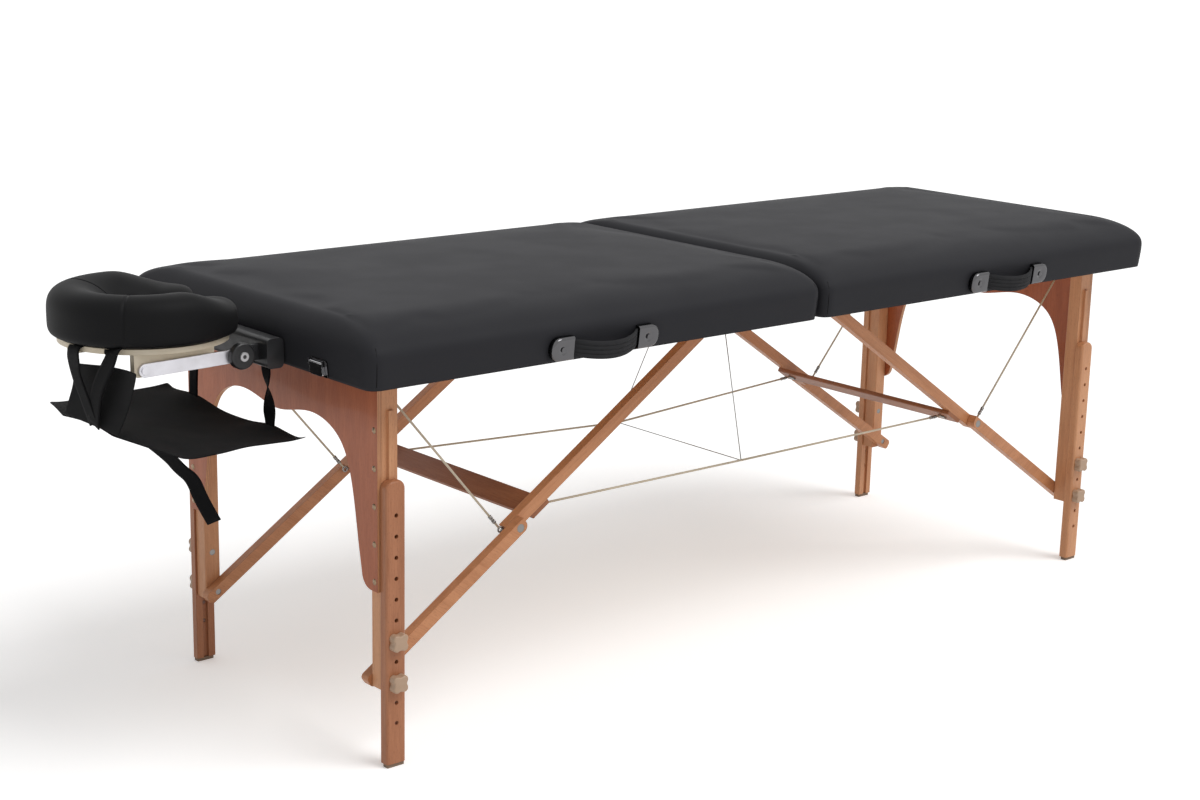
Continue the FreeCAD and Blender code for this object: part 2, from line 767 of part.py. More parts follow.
def make_long_cable():
    # Two straight runs joined by one tangent bend, drawn in at the middle of the table.
    middle = V(0, cable_mid_y, cable_mid_height)
    under = -brace_half - crossbar_thickness - cable_radius - seat_gap
    start = along_upper(upper_brace_length - staple_from_knuckle - staple_width / 2 - cable_radius, under)
    start = start + V(0, staple_y, 0)
    end = V(-start.x, start.y, start.z)
    back, ahead = (start - middle).normalize(), (end - middle).normalize()
    half_angle = back.getAngle(ahead) / 2
    reach = cable_bend_radius / math.tan(half_angle)
    centre = middle + (back + ahead).normalize() * (cable_bend_radius / math.sin(half_angle))
    bend = centre + (middle - centre).normalize() * cable_bend_radius
    first, last = middle + back * reach, middle + ahead * reach
    path = Part.Wire([segment(start, first), Part.Arc(first, bend, last).toShape(), segment(last, end)])
    ring = Part.Wire(Part.Circle(start, first - start, cable_radius).toShape())
    print("cable bend radius", cable_bend_radius, "tube radius", cable_radius)
    return path.makePipeShell([ring], True, True)


cable_seat = cable_radius + seat_gap


def make_ties():
    near_clip = V(0, -cable_mid_y + cable_seat, cable_mid_height)
    far_clip = V(0, cable_mid_y - cable_seat, cable_mid_height)
    ties = [rod_between(near_clip, far_clip, tie_radius)]
    for side, top_y in ((-1, near_tie_top_y), (1, far_tie_top_y)):
        clip = V(0, side * cable_mid_y, cable_mid_height)
        top = V(-tie_hook_x, top_y, underside_height - tie_radius - seat_gap)
        line = (top - clip).normalize()
        ties.append(rod_between(clip + line * cable_seat, top, tie_radius))
    return Part.makeCompound(ties)


# Carrying handle of the foot half, on the near side

handle_z = underside_height + handle_above_underside


def side_inset(z):
    # How far the cover's side stands in from the table's full width at a height below the shoulder.
    return side_draw_in * (shoulder_height - z) / (shoulder_height - underside_height)


side_lean = math.degrees(math.atan2(side_draw_in, shoulder_height - underside_height))
handle_face_y = -half_width + side_inset(handle_z)
cap_back_y = handle_face_y - seat_gap


def lean_on_side(shape):
    # Turns a handle piece, made upright, to lie along the cover's side.
    shape.rotate(V(0, handle_face_y, handle_z), V(1, 0, 0), side_lean)
    return shape


def lean_on_end(shape):
    shape.rotate(V(latch_face_x, 0, latch_z), V(0, 1, 0), side_lean)
    return shape


def make_handle_cap(side):
    # A drawn cap over the strap's end, round on its outer end and open towards the strap.
    x = handle_from_centre + side * handle_cap_spacing / 2
    outer = x + side * cap_width / 2
    inner = x - side * cap_width / 2
    y = cap_back_y - cap_depth
    corners = [V(inner, y, handle_z - cap_height / 2), V(outer, y, handle_z - cap_height / 2),
               V(outer, y, handle_z + cap_height / 2), V(inner, y, handle_z + cap_height / 2)]
    cap = plate_from(rounded_outline(corners, [0, cap_nose_radius, cap_nose_radius, 0]), V(0, cap_depth, 0))
    pocket_end = outer - side * (cap_wall + cap_nose_wall)
    low, high = sorted((inner - side * overcut, pocket_end))
    pocket = box(low, high, y + cap_wall, cap_back_y + overcut, handle_z - cap_height / 2 + cap_wall,
                 handle_z + cap_height / 2 - cap_wall)
    rivet = rod_y(x, handle_z, y - rivet_height, y, rivet_radius)
    return lean_on_side(cap.cut(pocket).fuse(rivet))


def make_strap():
    # The strap bows out and sags between the caps: its plan and its front view, in common.
    flat = cap_width - cap_wall - cap_nose_wall
    half = handle_cap_spacing / 2 + cap_width / 2 - cap_wall - cap_nose_wall - strap_clearance
    x0, x1 = handle_from_centre - half, handle_from_centre + half
    grip0, grip1 = x0 + flat, x1 - flat
    back = cap_back_y - seat_gap
    low, high = handle_z - strap_width / 2, handle_z + strap_width / 2

    def band(first, second, bow):
        # Closed band between two bowed edges, each through the ends of the grip.
        arcs = [Part.Arc(first[0], first[1] + bow, first[2]).toShape(),
                Part.Arc(second[0], second[1] + bow, second[2]).toShape()]
        ends = [Part.LineSegment(first[i], second[i]).toShape() for i in (0, 2)]
        return Part.Wire(Part.__sortEdges__([arcs[0], ends[1], arcs[1], ends[0]]))

    def row(y, z):
        return [V(x, y, z) for x in (grip0, handle_from_centre, grip1)]

    deep = low - strap_sag - overcut
    reach = back - strap_thickness - strap_bow - overcut
    plan = band(row(back, deep), row(back - strap_thickness, deep), V(0, -strap_bow, 0))
    front = band(row(reach, low), row(reach, high), V(0, 0, -strap_sag))
    bow = plate_from(plan, V(0, 0, high - deep + overcut))
    bow = bow.common(plate_from(front, V(0, back - reach + overcut, 0)))
    ends = [box(x0, grip0, back - strap_thickness, back, low, high),
            box(grip1, x1, back - strap_thickness, back, low, high)]
    return lean_on_side(bow.fuse(ends[0]).fuse(ends[1]).removeSplitter())


# Case latch on the head end, near the corner, and its catch on the foot end

latch_z = underside_height + latch_height / 2 + latch_above_underside
latch_face_x = half_length - side_inset(latch_z) + seat_gap
latch_pin_x = latch_face_x + latch_plate_thickness + latch_lever_thickness / 2
latch_pin_z = latch_z + latch_height / 2 - latch_pin_from_top


def latch_backing(z0, z1):
    half = latch_width / 2
    corners = [V(latch_face_x, latch_y - half, z0), V(latch_face_x, latch_y + half, z0),
               V(latch_face_x, latch_y + half, z1), V(latch_face_x, latch_y - half, z1)]
    return plate_from(rounded_outline(corners, [latch_corner_radius] * 4), V(latch_plate_thickness, 0, 0))


def make_latch_plate():
    plate = latch_backing(latch_z - latch_height / 2, latch_z + latch_height / 2)
    front = latch_face_x + latch_plate_thickness
    half = latch_ear_thickness / 2
    rise = latch_ear_height / 2
    for side in (-1, 1):
        y = latch_y + side * (latch_lever_width / 2 + seat_gap + half)
        plate = plate.fuse(box(front, front + latch_lever_thickness, y - half, y + half, latch_pin_z - rise,
                               latch_pin_z + rise))
    reach = latch_lever_width / 2 + seat_gap + latch_ear_thickness
    pin = rod_y(latch_pin_x, latch_pin_z, latch_y - reach, latch_y + reach, latch_pin_radius)
    return lean_on_end(plate.fuse(pin))


def make_latch_lever():
    # A tab that hangs from its pin, round about the pin so that it can swing up.
    half = latch_lever_width / 2
    radius = latch_lever_thickness / 2 - seat_gap
    x0, x1 = latch_pin_x - radius, latch_pin_x + radius
    low = latch_pin_z - latch_lever_height
    corners = [V(x0, latch_y - half, low), V(x0, latch_y + half, low), V(x0, latch_y + half, latch_pin_z),
               V(x0, latch_y - half, latch_pin_z)]
    outline = rounded_outline(corners, [latch_corner_radius, latch_corner_radius, 0, 0])
    tab = plate_from(outline, V(x1 - x0, 0, 0))
    lever = tab.fuse(rod_y(latch_pin_x, latch_pin_z, latch_y - half, latch_y + half, radius))
    bore = bore_y(latch_pin_x, latch_pin_z, latch_y - half, latch_y + half,
                  latch_pin_radius + running_clearance)
    return lean_on_end(lever.cut(bore))


def make_catch():
    plate = latch_backing(latch_z - latch_height / 2, latch_z)
    front = latch_face_x + latch_plate_thickness
    middle = latch_z - latch_height / 4
    hook = box(front, front + catch_depth, latch_y - catch_width / 2, latch_y + catch_width / 2,
               middle - catch_height / 2, middle + catch_height / 2)
    return lean_on_end(plate.fuse(hook))


# Face cradle at the head end

post_z = underside_height + post_above_underside
base_x1 = -half_length - base_from_end
base_x0 = base_x1 - base_length
clamp_x = -half_length - clamp_from_end
rivet_x = clamp_x - arm_length
rivet_z = post_z - arm_drop
arm_inner_y = post_y + lug_thickness / 2 + arm_gap
arm_outer_y = arm_inner_y + arm_thickness
plate_z = post_z + plate_height_above_arms + arm_height / 2
face_z = plate_z + plate_thickness + seat_gap
face_centre_x = -half_length - face_centre_from_end


def post_bore(radius):
    start = -half_length - overcut
    starts = [V(start, y, post_z) for y in (-post_y, post_y)]
    return [Part.makeCylinder(radius, post_bore_length, place, V(1, 0, 0)) for place in starts]


def make_cradle_base():
    bar = box(base_x0, base_x1, -base_half_width, base_half_width,
              post_z - base_height / 2, post_z + base_height / 2)
    lengthwise = [edge for edge in bar.Edges
                  if abs(edge.Vertexes[0].Point.y - edge.Vertexes[1].Point.y) > base_half_width]
    bar = bar.makeFillet(base_edge_radius, lengthwise)
    solids = [bar]
    for y in (-post_y, post_y):
        lug = box(clamp_x, base_x0 + overcut, y - lug_thickness / 2, y + lug_thickness / 2, post_z - lug_radius,
                  post_z + lug_radius)
        lug = lug.fuse(rod_y(clamp_x, post_z, y - lug_thickness / 2, y + lug_thickness / 2, lug_radius))
        solids[0] = solids[0].fuse(lug)
        post = Part.makeCylinder(post_radius, post_insertion, V(base_x1, y, post_z), V(1, 0, 0))
        solids.append(post)
    clamp_bore = bore_y(clamp_x, post_z, -base_half_width, base_half_width,
                        cradle_pin_radius + running_clearance)
    solids[0] = solids[0].cut(clamp_bore).removeSplitter()
    return Part.makeCompound(solids)


def make_clamp_discs():
    y0 = arm_outer_y + arm_gap
    disc = rod_y(clamp_x, post_z, y0, y0 + disc_thickness, disc_radius)
    rim = [edge for edge in disc.Edges if edge.Closed and edge.BoundBox.YMin > y0 + disc_thickness - 1e-3]
    disc = disc.makeFillet(disc_edge_radius, rim)
    disc = disc.fuse(rod_y(clamp_x, post_z, y0 + disc_thickness, y0 + disc_thickness + disc_screw_height,
                           disc_screw_radius))
    pin = rod_y(clamp_x, post_z, post_y - lug_thickness / 2, y0, cradle_pin_radius)
    return pair([disc.fuse(pin)])


def make_arm():
    half = arm_height / 2
    start, end = V(clamp_x, arm_inner_y, post_z), V(rivet_x, arm_inner_y, rivet_z)
    line = (end - start).normalize()
    normal = V(-line.z, 0, line.x)
    points = [start - line * half + normal * half, end + line * half + normal * half,
              end + line * half - normal * half, start - line * half - normal * half]
    arm = plate_from(rounded_outline(points, [half - flat_between_rounds] * 4), V(0, arm_thickness, 0))
    arm = arm.cut(bore_y(clamp_x, post_z, arm_inner_y, arm_outer_y, cradle_pin_radius + running_clearance))
    rivet = rod_y(rivet_x, rivet_z, arm_inner_y - arm_gap - plate_rail_thickness, arm_outer_y + rivet_height,
                  cradle_pin_radius)
    rim = rod_y(rivet_x, rivet_z, arm_outer_y, arm_outer_y + rivet_height, cradle_pin_radius + cradle_rivet_rim)
    return arm.fuse(rivet).fuse(rim)


def horseshoe(inset, z):
    # Closed outline of a face rest: a ring with round ends, open towards the table.
    outer, inner = face_ring_radius + face_half_width - inset, face_ring_radius - face_half_width + inset
    cap = face_half_width - inset
    turn = math.asin((face_half_width + face_gap / 2) / face_ring_radius)
    step = (math.pi - turn) / 4
    bend = math.sqrt(0.5)

    def polar(radius, angle):
        return V(face_centre_x + radius * math.cos(angle), radius * math.sin(angle), z)

    def ring_arcs(radius):
        stops = [polar(radius, turn + i * step) for i in range(9)]
        return [Part.Arc(stops[i], stops[i + 1], stops[i + 2]).toShape() for i in range(0, 8, 2)]

    def cap_arcs(angle, side):
        centre = polar(face_ring_radius, angle)
        out = V(math.cos(angle), math.sin(angle), 0) * cap
        ahead = V(-math.sin(angle), math.cos(angle), 0) * (side * cap)
        return [Part.Arc(centre + out, centre + (out + ahead) * bend, centre + ahead).toShape(),
                Part.Arc(centre + ahead, centre + (ahead - out) * bend, centre - out).toShape()]

    ends = cap_arcs(2 * math.pi - turn, 1) + cap_arcs(turn, -1)
    return Part.Wire(Part.__sortEdges__(ring_arcs(outer) + ring_arcs(inner) + ends))


def make_platform():
    plate = plate_from(horseshoe(plate_inset, plate_z), V(0, 0, plate_thickness))
    y1 = arm_inner_y - arm_gap
    y0 = y1 - plate_rail_thickness
    rail = box(rivet_x - plate_rail_outer_end, rivet_x + plate_rail_inner_end, y0, y1,
               rivet_z - arm_height / 2, plate_z)
    low_edges = [edge for edge in rail.Edges
                 if edge.BoundBox.ZMax < rivet_z and edge.BoundBox.XLength < overcut]
    rail = rail.makeFillet(plate_rail_radius, low_edges)
    rail = rail.cut(bore_y(rivet_x, rivet_z, y0, y1, cradle_pin_radius + running_clearance))
    return Part.makeCompound([plate, rail, flip_y(rail)])


def make_face_cushion():
    # Crowned horseshoe: sides drawn in at the seams, fullest a third of the way up.
    wires = [horseshoe(inset, face_z + share * face_depth) for share, inset in face_levels]
    return Part.makeLoft(wires, True, True)


# Arm sling: a sagging hemmed panel on two straps and a yoke, with a loose webbing tail

def make_sling_panel():
    wires = []
    for from_end, half, edge, middle in sling_stations:
        x = -half_length - from_end
        arcs = []
        for z in (underside_height - sling_thickness, underside_height):
            arcs.append(Part.Arc(V(x, -half, z + edge), V(x, 0, z + middle), V(x, half, z + edge)).toShape())
        z = underside_height + edge
        sides = [segment(V(x, y, z - sling_thickness), V(x, y, z)) for y in (-half, half)]
        wires.append(Part.Wire([arcs[0], sides[1], arcs[1], sides[0]]))
    return Part.makeLoft(wires, True, True)


def make_sling():
    panel = make_sling_panel()
    yoke_x = -half_length - sling_stations[-1][0] + yoke_lap
    yoke_points = [V(yoke_x, y, underside_height + z) for y, z in yoke_outline]
    yoke = plate_from(Part.makePolygon(yoke_points + yoke_points[:1]), V(-sling_thickness, 0, 0))
    strap_x = -half_length - sling_strap_from_end
    strap_foot = underside_height + sling_stations[0][3] + sling_thickness / 2
    strap = box(strap_x - sling_thickness / 2, strap_x + sling_thickness / 2,
                sling_strap_y - sling_strap_width / 2, sling_strap_y + sling_strap_width / 2,
                strap_foot, post_z - base_height / 2 - seat_gap)
    edge_y = tail_y - tail_width / 2
    upper = [V(-half_length - x, edge_y, underside_height + z) for x, z in tail_points]
    lower = [point - V(sling_thickness, 0, sling_thickness) for point in reversed(upper)]
    tail = plate_from(Part.makePolygon(upper + lower + upper[:1]), V(0, tail_width, 0))
    solid = panel
    for piece in (yoke, strap, flip_y(strap), tail):
        solid = solid.fuse(piece)
    return solid


# Every node, named as a person would name it

nodes = {}
half_pieces = {
    "deck": frame_block(deck_underside, deck_top),
    "foam": make_foam(),
    "brackets": make_brackets(),
    "upper_legs": pair([make_upper_leg()]),
    "end_panel": make_end_panel(),
    "panel_screws": pair([make_panel_screw(y, z) for y, z in screw_places()]),
    "leg_bolts": pair(make_leg_bolts()),
    "upper_braces": pair([make_upper_brace()]),
    "crossbar": make_crossbar(),
    "brace_fittings": make_brace_fittings(),
    "lower_braces": pair([make_lower_brace()]),
    "knuckle_bolts": pair([make_knuckle_bolt()]),
    "handle_strap": make_strap(),
}
for name, shape in half_pieces.items():
    nodes[name + "_foot"] = shape
    nodes[name + "_head"] = flip_x(shape)

cover = make_cover()
nodes["cover_foot"] = cover
nodes["cover_head"] = cut_all(flip_x(cover), post_bore(post_radius + cover_hole_clearance))
rails = make_rails()
nodes["frame_rails_foot"] = Part.makeCompound(rails)
head_rails = [cut_all(flip_x(rail), post_bore(post_radius + post_hole_clearance)) for rail in rails]
nodes["frame_rails_head"] = Part.makeCompound(head_rails)
nodes["hinge_leaves_foot"] = pair([make_hinge_leaf(True)])
nodes["hinge_leaves_head"] = flip_x(pair([make_hinge_leaf(False)]))
nodes["hinge_pins"] = pair([make_hinge_pin()])

corner_pieces = {
    "leg_extension": make_extension(),
    "foot_pad": make_pad(),
    "upper_knob": make_knob(upper_bolt_z),
    "lower_knob": make_knob(lower_bolt_z),
}
for name, shape in corner_pieces.items():
    nodes[name + "_foot_far"] = shape
    nodes[name + "_foot_near"] = flip_y(shape)
    nodes[name + "_head_far"] = flip_x(shape)
    nodes[name + "_head_near"] = flip_x(flip_y(shape))

stay = make_stay()
stays = [stay, flip_y(stay), flip_x(stay), flip_x(flip_y(stay))]
long_cable = make_long_cable()
nodes["suspension_cables"] = Part.makeCompound(stays + [long_cable, flip_y(long_cable)])
nodes["cable_ties"] = make_ties()

caps = [make_handle_cap(-1), make_handle_cap(1)]
nodes["chrome_fittings_foot"] = Part.makeCompound(caps + [make_catch()])
nodes["chrome_fittings_head"] = flip_x(Part.makeCompound(caps + [make_latch_plate()]))
nodes["latch_lever"] = flip_x(make_latch_lever())

nodes["cradle_base"] = make_cradle_base()
nodes["clamp_discs"] = make_clamp_discs()
nodes["cradle_arms"] = pair([make_arm()])
nodes["face_platform"] = make_platform()
nodes["face_cushion"] = make_face_cushion()
nodes["arm_sling"] = make_sling()

for name, shape in nodes.items():
    shape.exportStep("parts/" + name + ".step")
    if not shape.isValid():
        print("not valid:", name)
print(len(nodes), "nodes,", sum(len(shape.Solids) for shape in nodes.values()), "solids")
print("eye centre", eye_centre, "stay anchor x", stay_anchor_x, "clamp x", clamp_x, "rivet", rivet_x, rivet_z)
pin_place = lean_on_end(Part.Vertex(V(latch_pin_x, 0, latch_pin_z))).Point
print("latch pin", pin_place, "plate z", plate_z, "handle face y", handle_face_y)
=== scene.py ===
import math

import bmesh
import bpy
from mathutils import Matrix, Vector, noise


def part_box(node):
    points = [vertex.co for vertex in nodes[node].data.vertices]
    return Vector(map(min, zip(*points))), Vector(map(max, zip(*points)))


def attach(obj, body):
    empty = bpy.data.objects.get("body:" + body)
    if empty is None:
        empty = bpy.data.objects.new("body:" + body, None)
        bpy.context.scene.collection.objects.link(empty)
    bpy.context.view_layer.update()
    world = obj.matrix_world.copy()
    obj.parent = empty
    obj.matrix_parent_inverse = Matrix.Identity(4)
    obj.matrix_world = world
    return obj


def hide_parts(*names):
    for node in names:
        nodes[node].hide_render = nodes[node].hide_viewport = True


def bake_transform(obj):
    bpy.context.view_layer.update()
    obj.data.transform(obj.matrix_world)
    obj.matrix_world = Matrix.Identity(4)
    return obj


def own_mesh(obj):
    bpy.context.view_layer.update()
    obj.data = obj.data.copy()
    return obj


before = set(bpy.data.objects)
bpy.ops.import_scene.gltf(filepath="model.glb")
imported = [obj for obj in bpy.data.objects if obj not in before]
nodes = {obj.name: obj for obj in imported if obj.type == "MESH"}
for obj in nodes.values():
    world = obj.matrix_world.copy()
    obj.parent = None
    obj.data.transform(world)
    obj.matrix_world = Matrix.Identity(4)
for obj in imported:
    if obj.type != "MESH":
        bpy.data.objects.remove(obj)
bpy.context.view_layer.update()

scene = bpy.context.scene
ends = {"head": -1, "foot": 1}
sides = {"near": -1, "far": 1}
print("frame loaded:", len(nodes), "nodes")

# Tools for objects and node trees


def addObject(name, data):
    thing = bpy.data.objects.new(name, data)
    scene.collection.objects.link(thing)
    return thing


def startGrid(along, across, size=1.0):
    bm = bmesh.new()
    bmesh.ops.create_grid(bm, x_segments=along, y_segments=across, size=size)
    return bm


def feed(tree, node, sources):
    # Links a socket, or sets a plain value, at each of a node's inputs.
    for key, source in sources.items():
        if isinstance(source, bpy.types.NodeSocket):
            tree.links.new(source, node.inputs[key])
        else:
            node.inputs[key].default_value = source


def addNode(tree, kind, sources=None, **options):
    node = tree.nodes.new("ShaderNode" + kind)
    for option, value in options.items():
        setattr(node, option, value)
    feed(tree, node, sources or {})
    return node


def mixColours(tree, factor, first, second):
    return addNode(tree, "Mix", {0: factor, 6: first, 7: second}, data_type="RGBA").outputs[2]


def mathNode(tree, operation, *sources):
    return addNode(tree, "Math", dict(enumerate(sources)), operation=operation).outputs[0]


def spread(tree, source, low, high, toLow=0.0, toHigh=1.0):
    # Maps the range from low to high smoothly onto another.
    ranges = {"Value": source, "From Min": low, "From Max": high, "To Min": toLow, "To Max": toHigh}
    return addNode(tree, "MapRange", ranges, interpolation_type="SMOOTHSTEP").outputs["Result"]


def startMaterial(name, **constants):
    material = bpy.data.materials.new(name)
    material.use_nodes = True
    tree = material.node_tree
    shader = tree.nodes["Principled BSDF"]
    for socket, value in constants.items():
        shader.inputs[socket.replace("_", " ")].default_value = value
    return material, tree, shader, addNode(tree, "TexCoord")


# Camera, floor and light

cameraSettings = {
    "place": (-2.5346, -2.6910, 1.3001),
    "right": (0.75783, -0.65207, 0.02222),
    "forward": (0.63751, 0.73281, -0.23784),
    "lens": 61.62,
    "sensorWidth": 36.0,
    "reach": 200.0,
}
lightSettings = {
    "skyStrength": 0.496,
    "keyStrength": 1.5,
    "keyFrom": (0.35, -0.62, 1.0),
    "keySpread": 35.0,
    "white": (1.0, 1.0, 1.0, 1.0),
    "floorColour": (0.97, 0.97, 0.97, 1.0),
    "floorRough": 0.9,
    "floorGlow": 0.3,
    "floorSize": 60.0,
}


def makeCamera():
    use = cameraSettings
    forward = Vector(use["forward"]).normalized()
    right = Vector(use["right"]).normalized()
    up = right.cross(forward)
    data = bpy.data.cameras.new("photoCamera")
    data.lens = use["lens"]
    data.sensor_width = use["sensorWidth"]
    data.sensor_fit = "HORIZONTAL"
    data.clip_end = use["reach"]
    scene.camera = addObject("photoCamera", data)
    turn = Matrix((right, up, -forward)).transposed().to_4x4()
    scene.camera.matrix_world = Matrix.Translation(use["place"]) @ turn


def seenRays(tree):
    # 1 where the backdrop is seen, straight or in a reflection, and 0 where it only lights the table.
    path = addNode(tree, "LightPath")
    seen = path.outputs["Is Camera Ray"]
    for kind in ("Is Glossy Ray", "Is Transmission Ray"):
        seen = mathNode(tree, "MAXIMUM", seen, path.outputs[kind])
    return seen


def makeLight():
    use = lightSettings
    sun = bpy.data.lights.new("keyLight", "SUN")
    sun.energy = use["keyStrength"]
    sun.angle = math.radians(use["keySpread"])
    lamp = addObject("keyLight", sun)
    lamp.rotation_euler = Vector(use["keyFrom"]).to_track_quat("Z", "Y").to_euler()
    world = bpy.data.worlds.new("paleRoom")
    world.use_nodes = True
    tree = world.node_tree
    tree.nodes.clear()
    ranges = {"Value": seenRays(tree), "To Min": use["skyStrength"], "To Max": 1.0}
    strength = addNode(tree, "MapRange", ranges)
    sky = addNode(tree, "Background", {"Color": use["white"], "Strength": strength.outputs["Result"]})
    addNode(tree, "OutputWorld", {"Surface": sky.outputs["Background"]})
    scene.world = world


def makeFloor():
    # The floor glows a little where it is seen, so that it reads as a white backdrop.
    use = lightSettings
    bm = startGrid(1, 1, use["floorSize"])
    mesh = bpy.data.meshes.new("paleFloor")
    bm.to_mesh(mesh)
    bm.free()
    material, tree, shader, coords = startMaterial(
        "paleFloor", Base_Color=use["floorColour"], Roughness=use["floorRough"], Specular_IOR_Level=0.0,
        Emission_Color=use["white"])
    glow = addNode(tree, "MapRange", {"Value": seenRays(tree), "To Max": use["floorGlow"]})
    feed(tree, shader, {"Emission Strength": glow.outputs["Result"]})
    mesh.materials.append(material)
    addObject("paleFloor", mesh)


makeCamera()
makeLight()
makeFloor()
scene.view_settings.view_transform = "Standard"
print("camera, light and floor ready")

# Shared effects, each one node group


def startGroup(name, inputs, outputs):
    # A vector comes into every group, ahead of the inputs named here.
    group = bpy.data.node_groups.new(name, "ShaderNodeTree")
    for way, sockets in (("INPUT", {"Vector": "Vector", **inputs}), ("OUTPUT", outputs)):
        for label, kind in sockets.items():
            group.interface.new_socket(label, in_out=way, socket_type="NodeSocket" + kind)
    return group, group.nodes.new("NodeGroupInput"), group.nodes.new("NodeGroupOutput")


def grainNoise(tree, vector, stretch, **values):
    # Noise drawn out along X.
    drawn = addNode(tree, "Mapping", {"Scale": (1.0, stretch, stretch), "Vector": vector})
    return addNode(tree, "TexNoise", {"Vector": drawn.outputs[0], **values}).outputs[0]


def makeBeechGrain():
    # Grain runs along X of the vector that comes in: broad bands, fine fibres and short dark flecks.
    group, start, end = startGroup(
        "beechGrain", {"Light": "Color", "Dark": "Color", "Fleck": "Color"},
        {"Color": "Color", "Rough": "Float", "Height": "Float"})
    vector = start.outputs["Vector"]
    bands = grainNoise(group, vector, 9.0, Scale=4.5, Detail=3.0, Distortion=0.6)
    fibres = grainNoise(group, vector, 26.0, Scale=26.0, Detail=5.0, Roughness=0.65)
    flecks = grainNoise(group, vector, 7.0, Scale=150.0, Detail=2.0, Roughness=0.5)
    tone = mathNode(group, "MULTIPLY_ADD", fibres, 0.5, mathNode(group, "MULTIPLY", bands, 0.5))
    base = mixColours(group, spread(group, tone, 0.34, 0.66), start.outputs["Light"], start.outputs["Dark"])
    fleckMask = spread(group, flecks, 0.58, 0.74, 0.0, 0.55)
    feed(group, end, {"Color": mixColours(group, fleckMask, base, start.outputs["Fleck"]),
                      "Rough": spread(group, fibres, 0.25, 0.75, 0.36, 0.52),
                      "Height": mathNode(group, "SUBTRACT", fibres, fleckMask)})
    return group


def makeVinylGrain():
    group, start, end = startGroup("vinylGrain", {"Size": "Float"}, {"Height": "Float", "Soft": "Float"})
    vector = start.outputs["Vector"]
    cells = addNode(group, "TexVoronoi", {"Vector": vector, "Scale": start.outputs["Size"]},
                    feature="SMOOTH_F1")
    broad = addNode(group, "TexNoise", {"Scale": 9.0, "Detail": 4.0, "Vector": vector})
    fine = addNode(group, "TexNoise", {"Scale": 420.0, "Detail": 2.0, "Vector": vector})
    height = mathNode(group, "MULTIPLY_ADD", fine.outputs[0], 0.4, cells.outputs["Distance"])
    feed(group, end, {"Height": height, "Soft": broad.outputs[0]})
    return group


def makeWeave():
    # Plain weave of two crossing threads; the vector's X and Y lie along the cloth.
    group, start, end = startGroup("plainWeave", {"Threads": "Float"}, {"Height": "Float", "Shade": "Float"})
    vector = start.outputs["Vector"]
    wave = {"Distortion": 0.6, "Detail": 1.0, "Vector": vector, "Scale": start.outputs["Threads"]}
    warp, weft = (addNode(group, "TexWave", wave, bands_direction=way).outputs["Fac"] for way in "XY")
    lint = addNode(group, "TexNoise", {"Scale": 60.0, "Detail": 5.0, "Vector": vector})
    feed(group, end, {"Height": mathNode(group, "MULTIPLY", warp, weft), "Shade": lint.outputs[0]})
    return group


def makeHandling():
    # Smears and small scratches for metal and plastic.
    group, start, end = startGroup(
        "handlingMarks", {"Low": "Float", "High": "Float"}, {"Rough": "Float", "Mask": "Float"})
    smear = addNode(group, "TexNoise", {"Scale": 38.0, "Detail": 6.0, "Roughness": 0.7,
                                        "Vector": start.outputs["Vector"]})
    rough = addNode(group, "MapRange", {"Value": smear.outputs[0], "From Min": 0.3, "From Max": 0.7,
                                        "To Min": start.outputs["Low"], "To Max": start.outputs["High"]})
    feed(group, end, {"Rough": rough.outputs["Result"], "Mask": smear.outputs[0]})
    return group


beechGrain = makeBeechGrain()
vinylGrain = makeVinylGrain()
plainWeave = makeWeave()
handlingMarks = makeHandling()

# Finishes

quarter = math.radians(90)


def placeGroup(tree, group, vector, values):
    return addNode(tree, "Group", {"Vector": vector, **values}, node_tree=group)


def addBump(tree, shader, height, strength, distance, edge=None):
    # Relief of some depth in metres, with sharp edges rounded off where a radius is given.
    bump = addNode(tree, "Bump", {"Strength": strength, "Distance": distance, "Height": height})
    if edge:
        rounded = addNode(tree, "Bevel", {"Radius": edge}, samples=4)
        feed(tree, bump, {"Normal": rounded.outputs["Normal"]})
    feed(tree, shader, {"Normal": bump.outputs["Normal"]})


beechTones = {
    "light": ((0.63, 0.31, 0.155, 1), (0.50, 0.225, 0.105, 1), (0.30, 0.12, 0.05, 1)),
    "warm": ((0.57, 0.255, 0.118, 1), (0.44, 0.18, 0.076, 1), (0.26, 0.095, 0.036, 1)),
    "red": ((0.43, 0.175, 0.082, 1), (0.32, 0.12, 0.052, 1), (0.18, 0.06, 0.024, 1)),
    "brown": ((0.34, 0.125, 0.05, 1), (0.24, 0.082, 0.032, 1), (0.13, 0.042, 0.016, 1)),
    "stain": ((0.43, 0.122, 0.045, 1), (0.32, 0.084, 0.03, 1), (0.19, 0.046, 0.016, 1)),
    "pale": ((0.66, 0.46, 0.28, 1), (0.54, 0.35, 0.19, 1), (0.36, 0.21, 0.1, 1)),
}


def placeBeech(tree, vector, tone):
    return placeGroup(tree, beechGrain, vector, dict(zip(("Light", "Dark", "Fleck"), beechTones[tone])))


def turnGrain(tree, coords, turn, shift=(0, 0, 0)):
    sources = {"Rotation": turn, "Location": shift, "Vector": coords.outputs["Object"]}
    return addNode(tree, "Mapping", sources, vector_type="TEXTURE").outputs[0]


def makeBeech(name, tone, turn=(0, 0, 0), shift=(0, 0, 0)):
    material, tree, shader, coords = startMaterial(
        name, Specular_IOR_Level=0.35, Coat_Weight=0.12, Coat_Roughness=0.3)
    grain = placeBeech(tree, turnGrain(tree, coords, turn, shift), tone)
    feed(tree, shader, {"Base Color": grain.outputs["Color"], "Roughness": grain.outputs["Rough"]})
    addBump(tree, shader, grain.outputs["Height"], 0.12, 0.0006, 0.0012)
    return material


plySettings = {
    "layer": 0.0016,
    "glue": (0.2, 0.085, 0.04, 1),
}


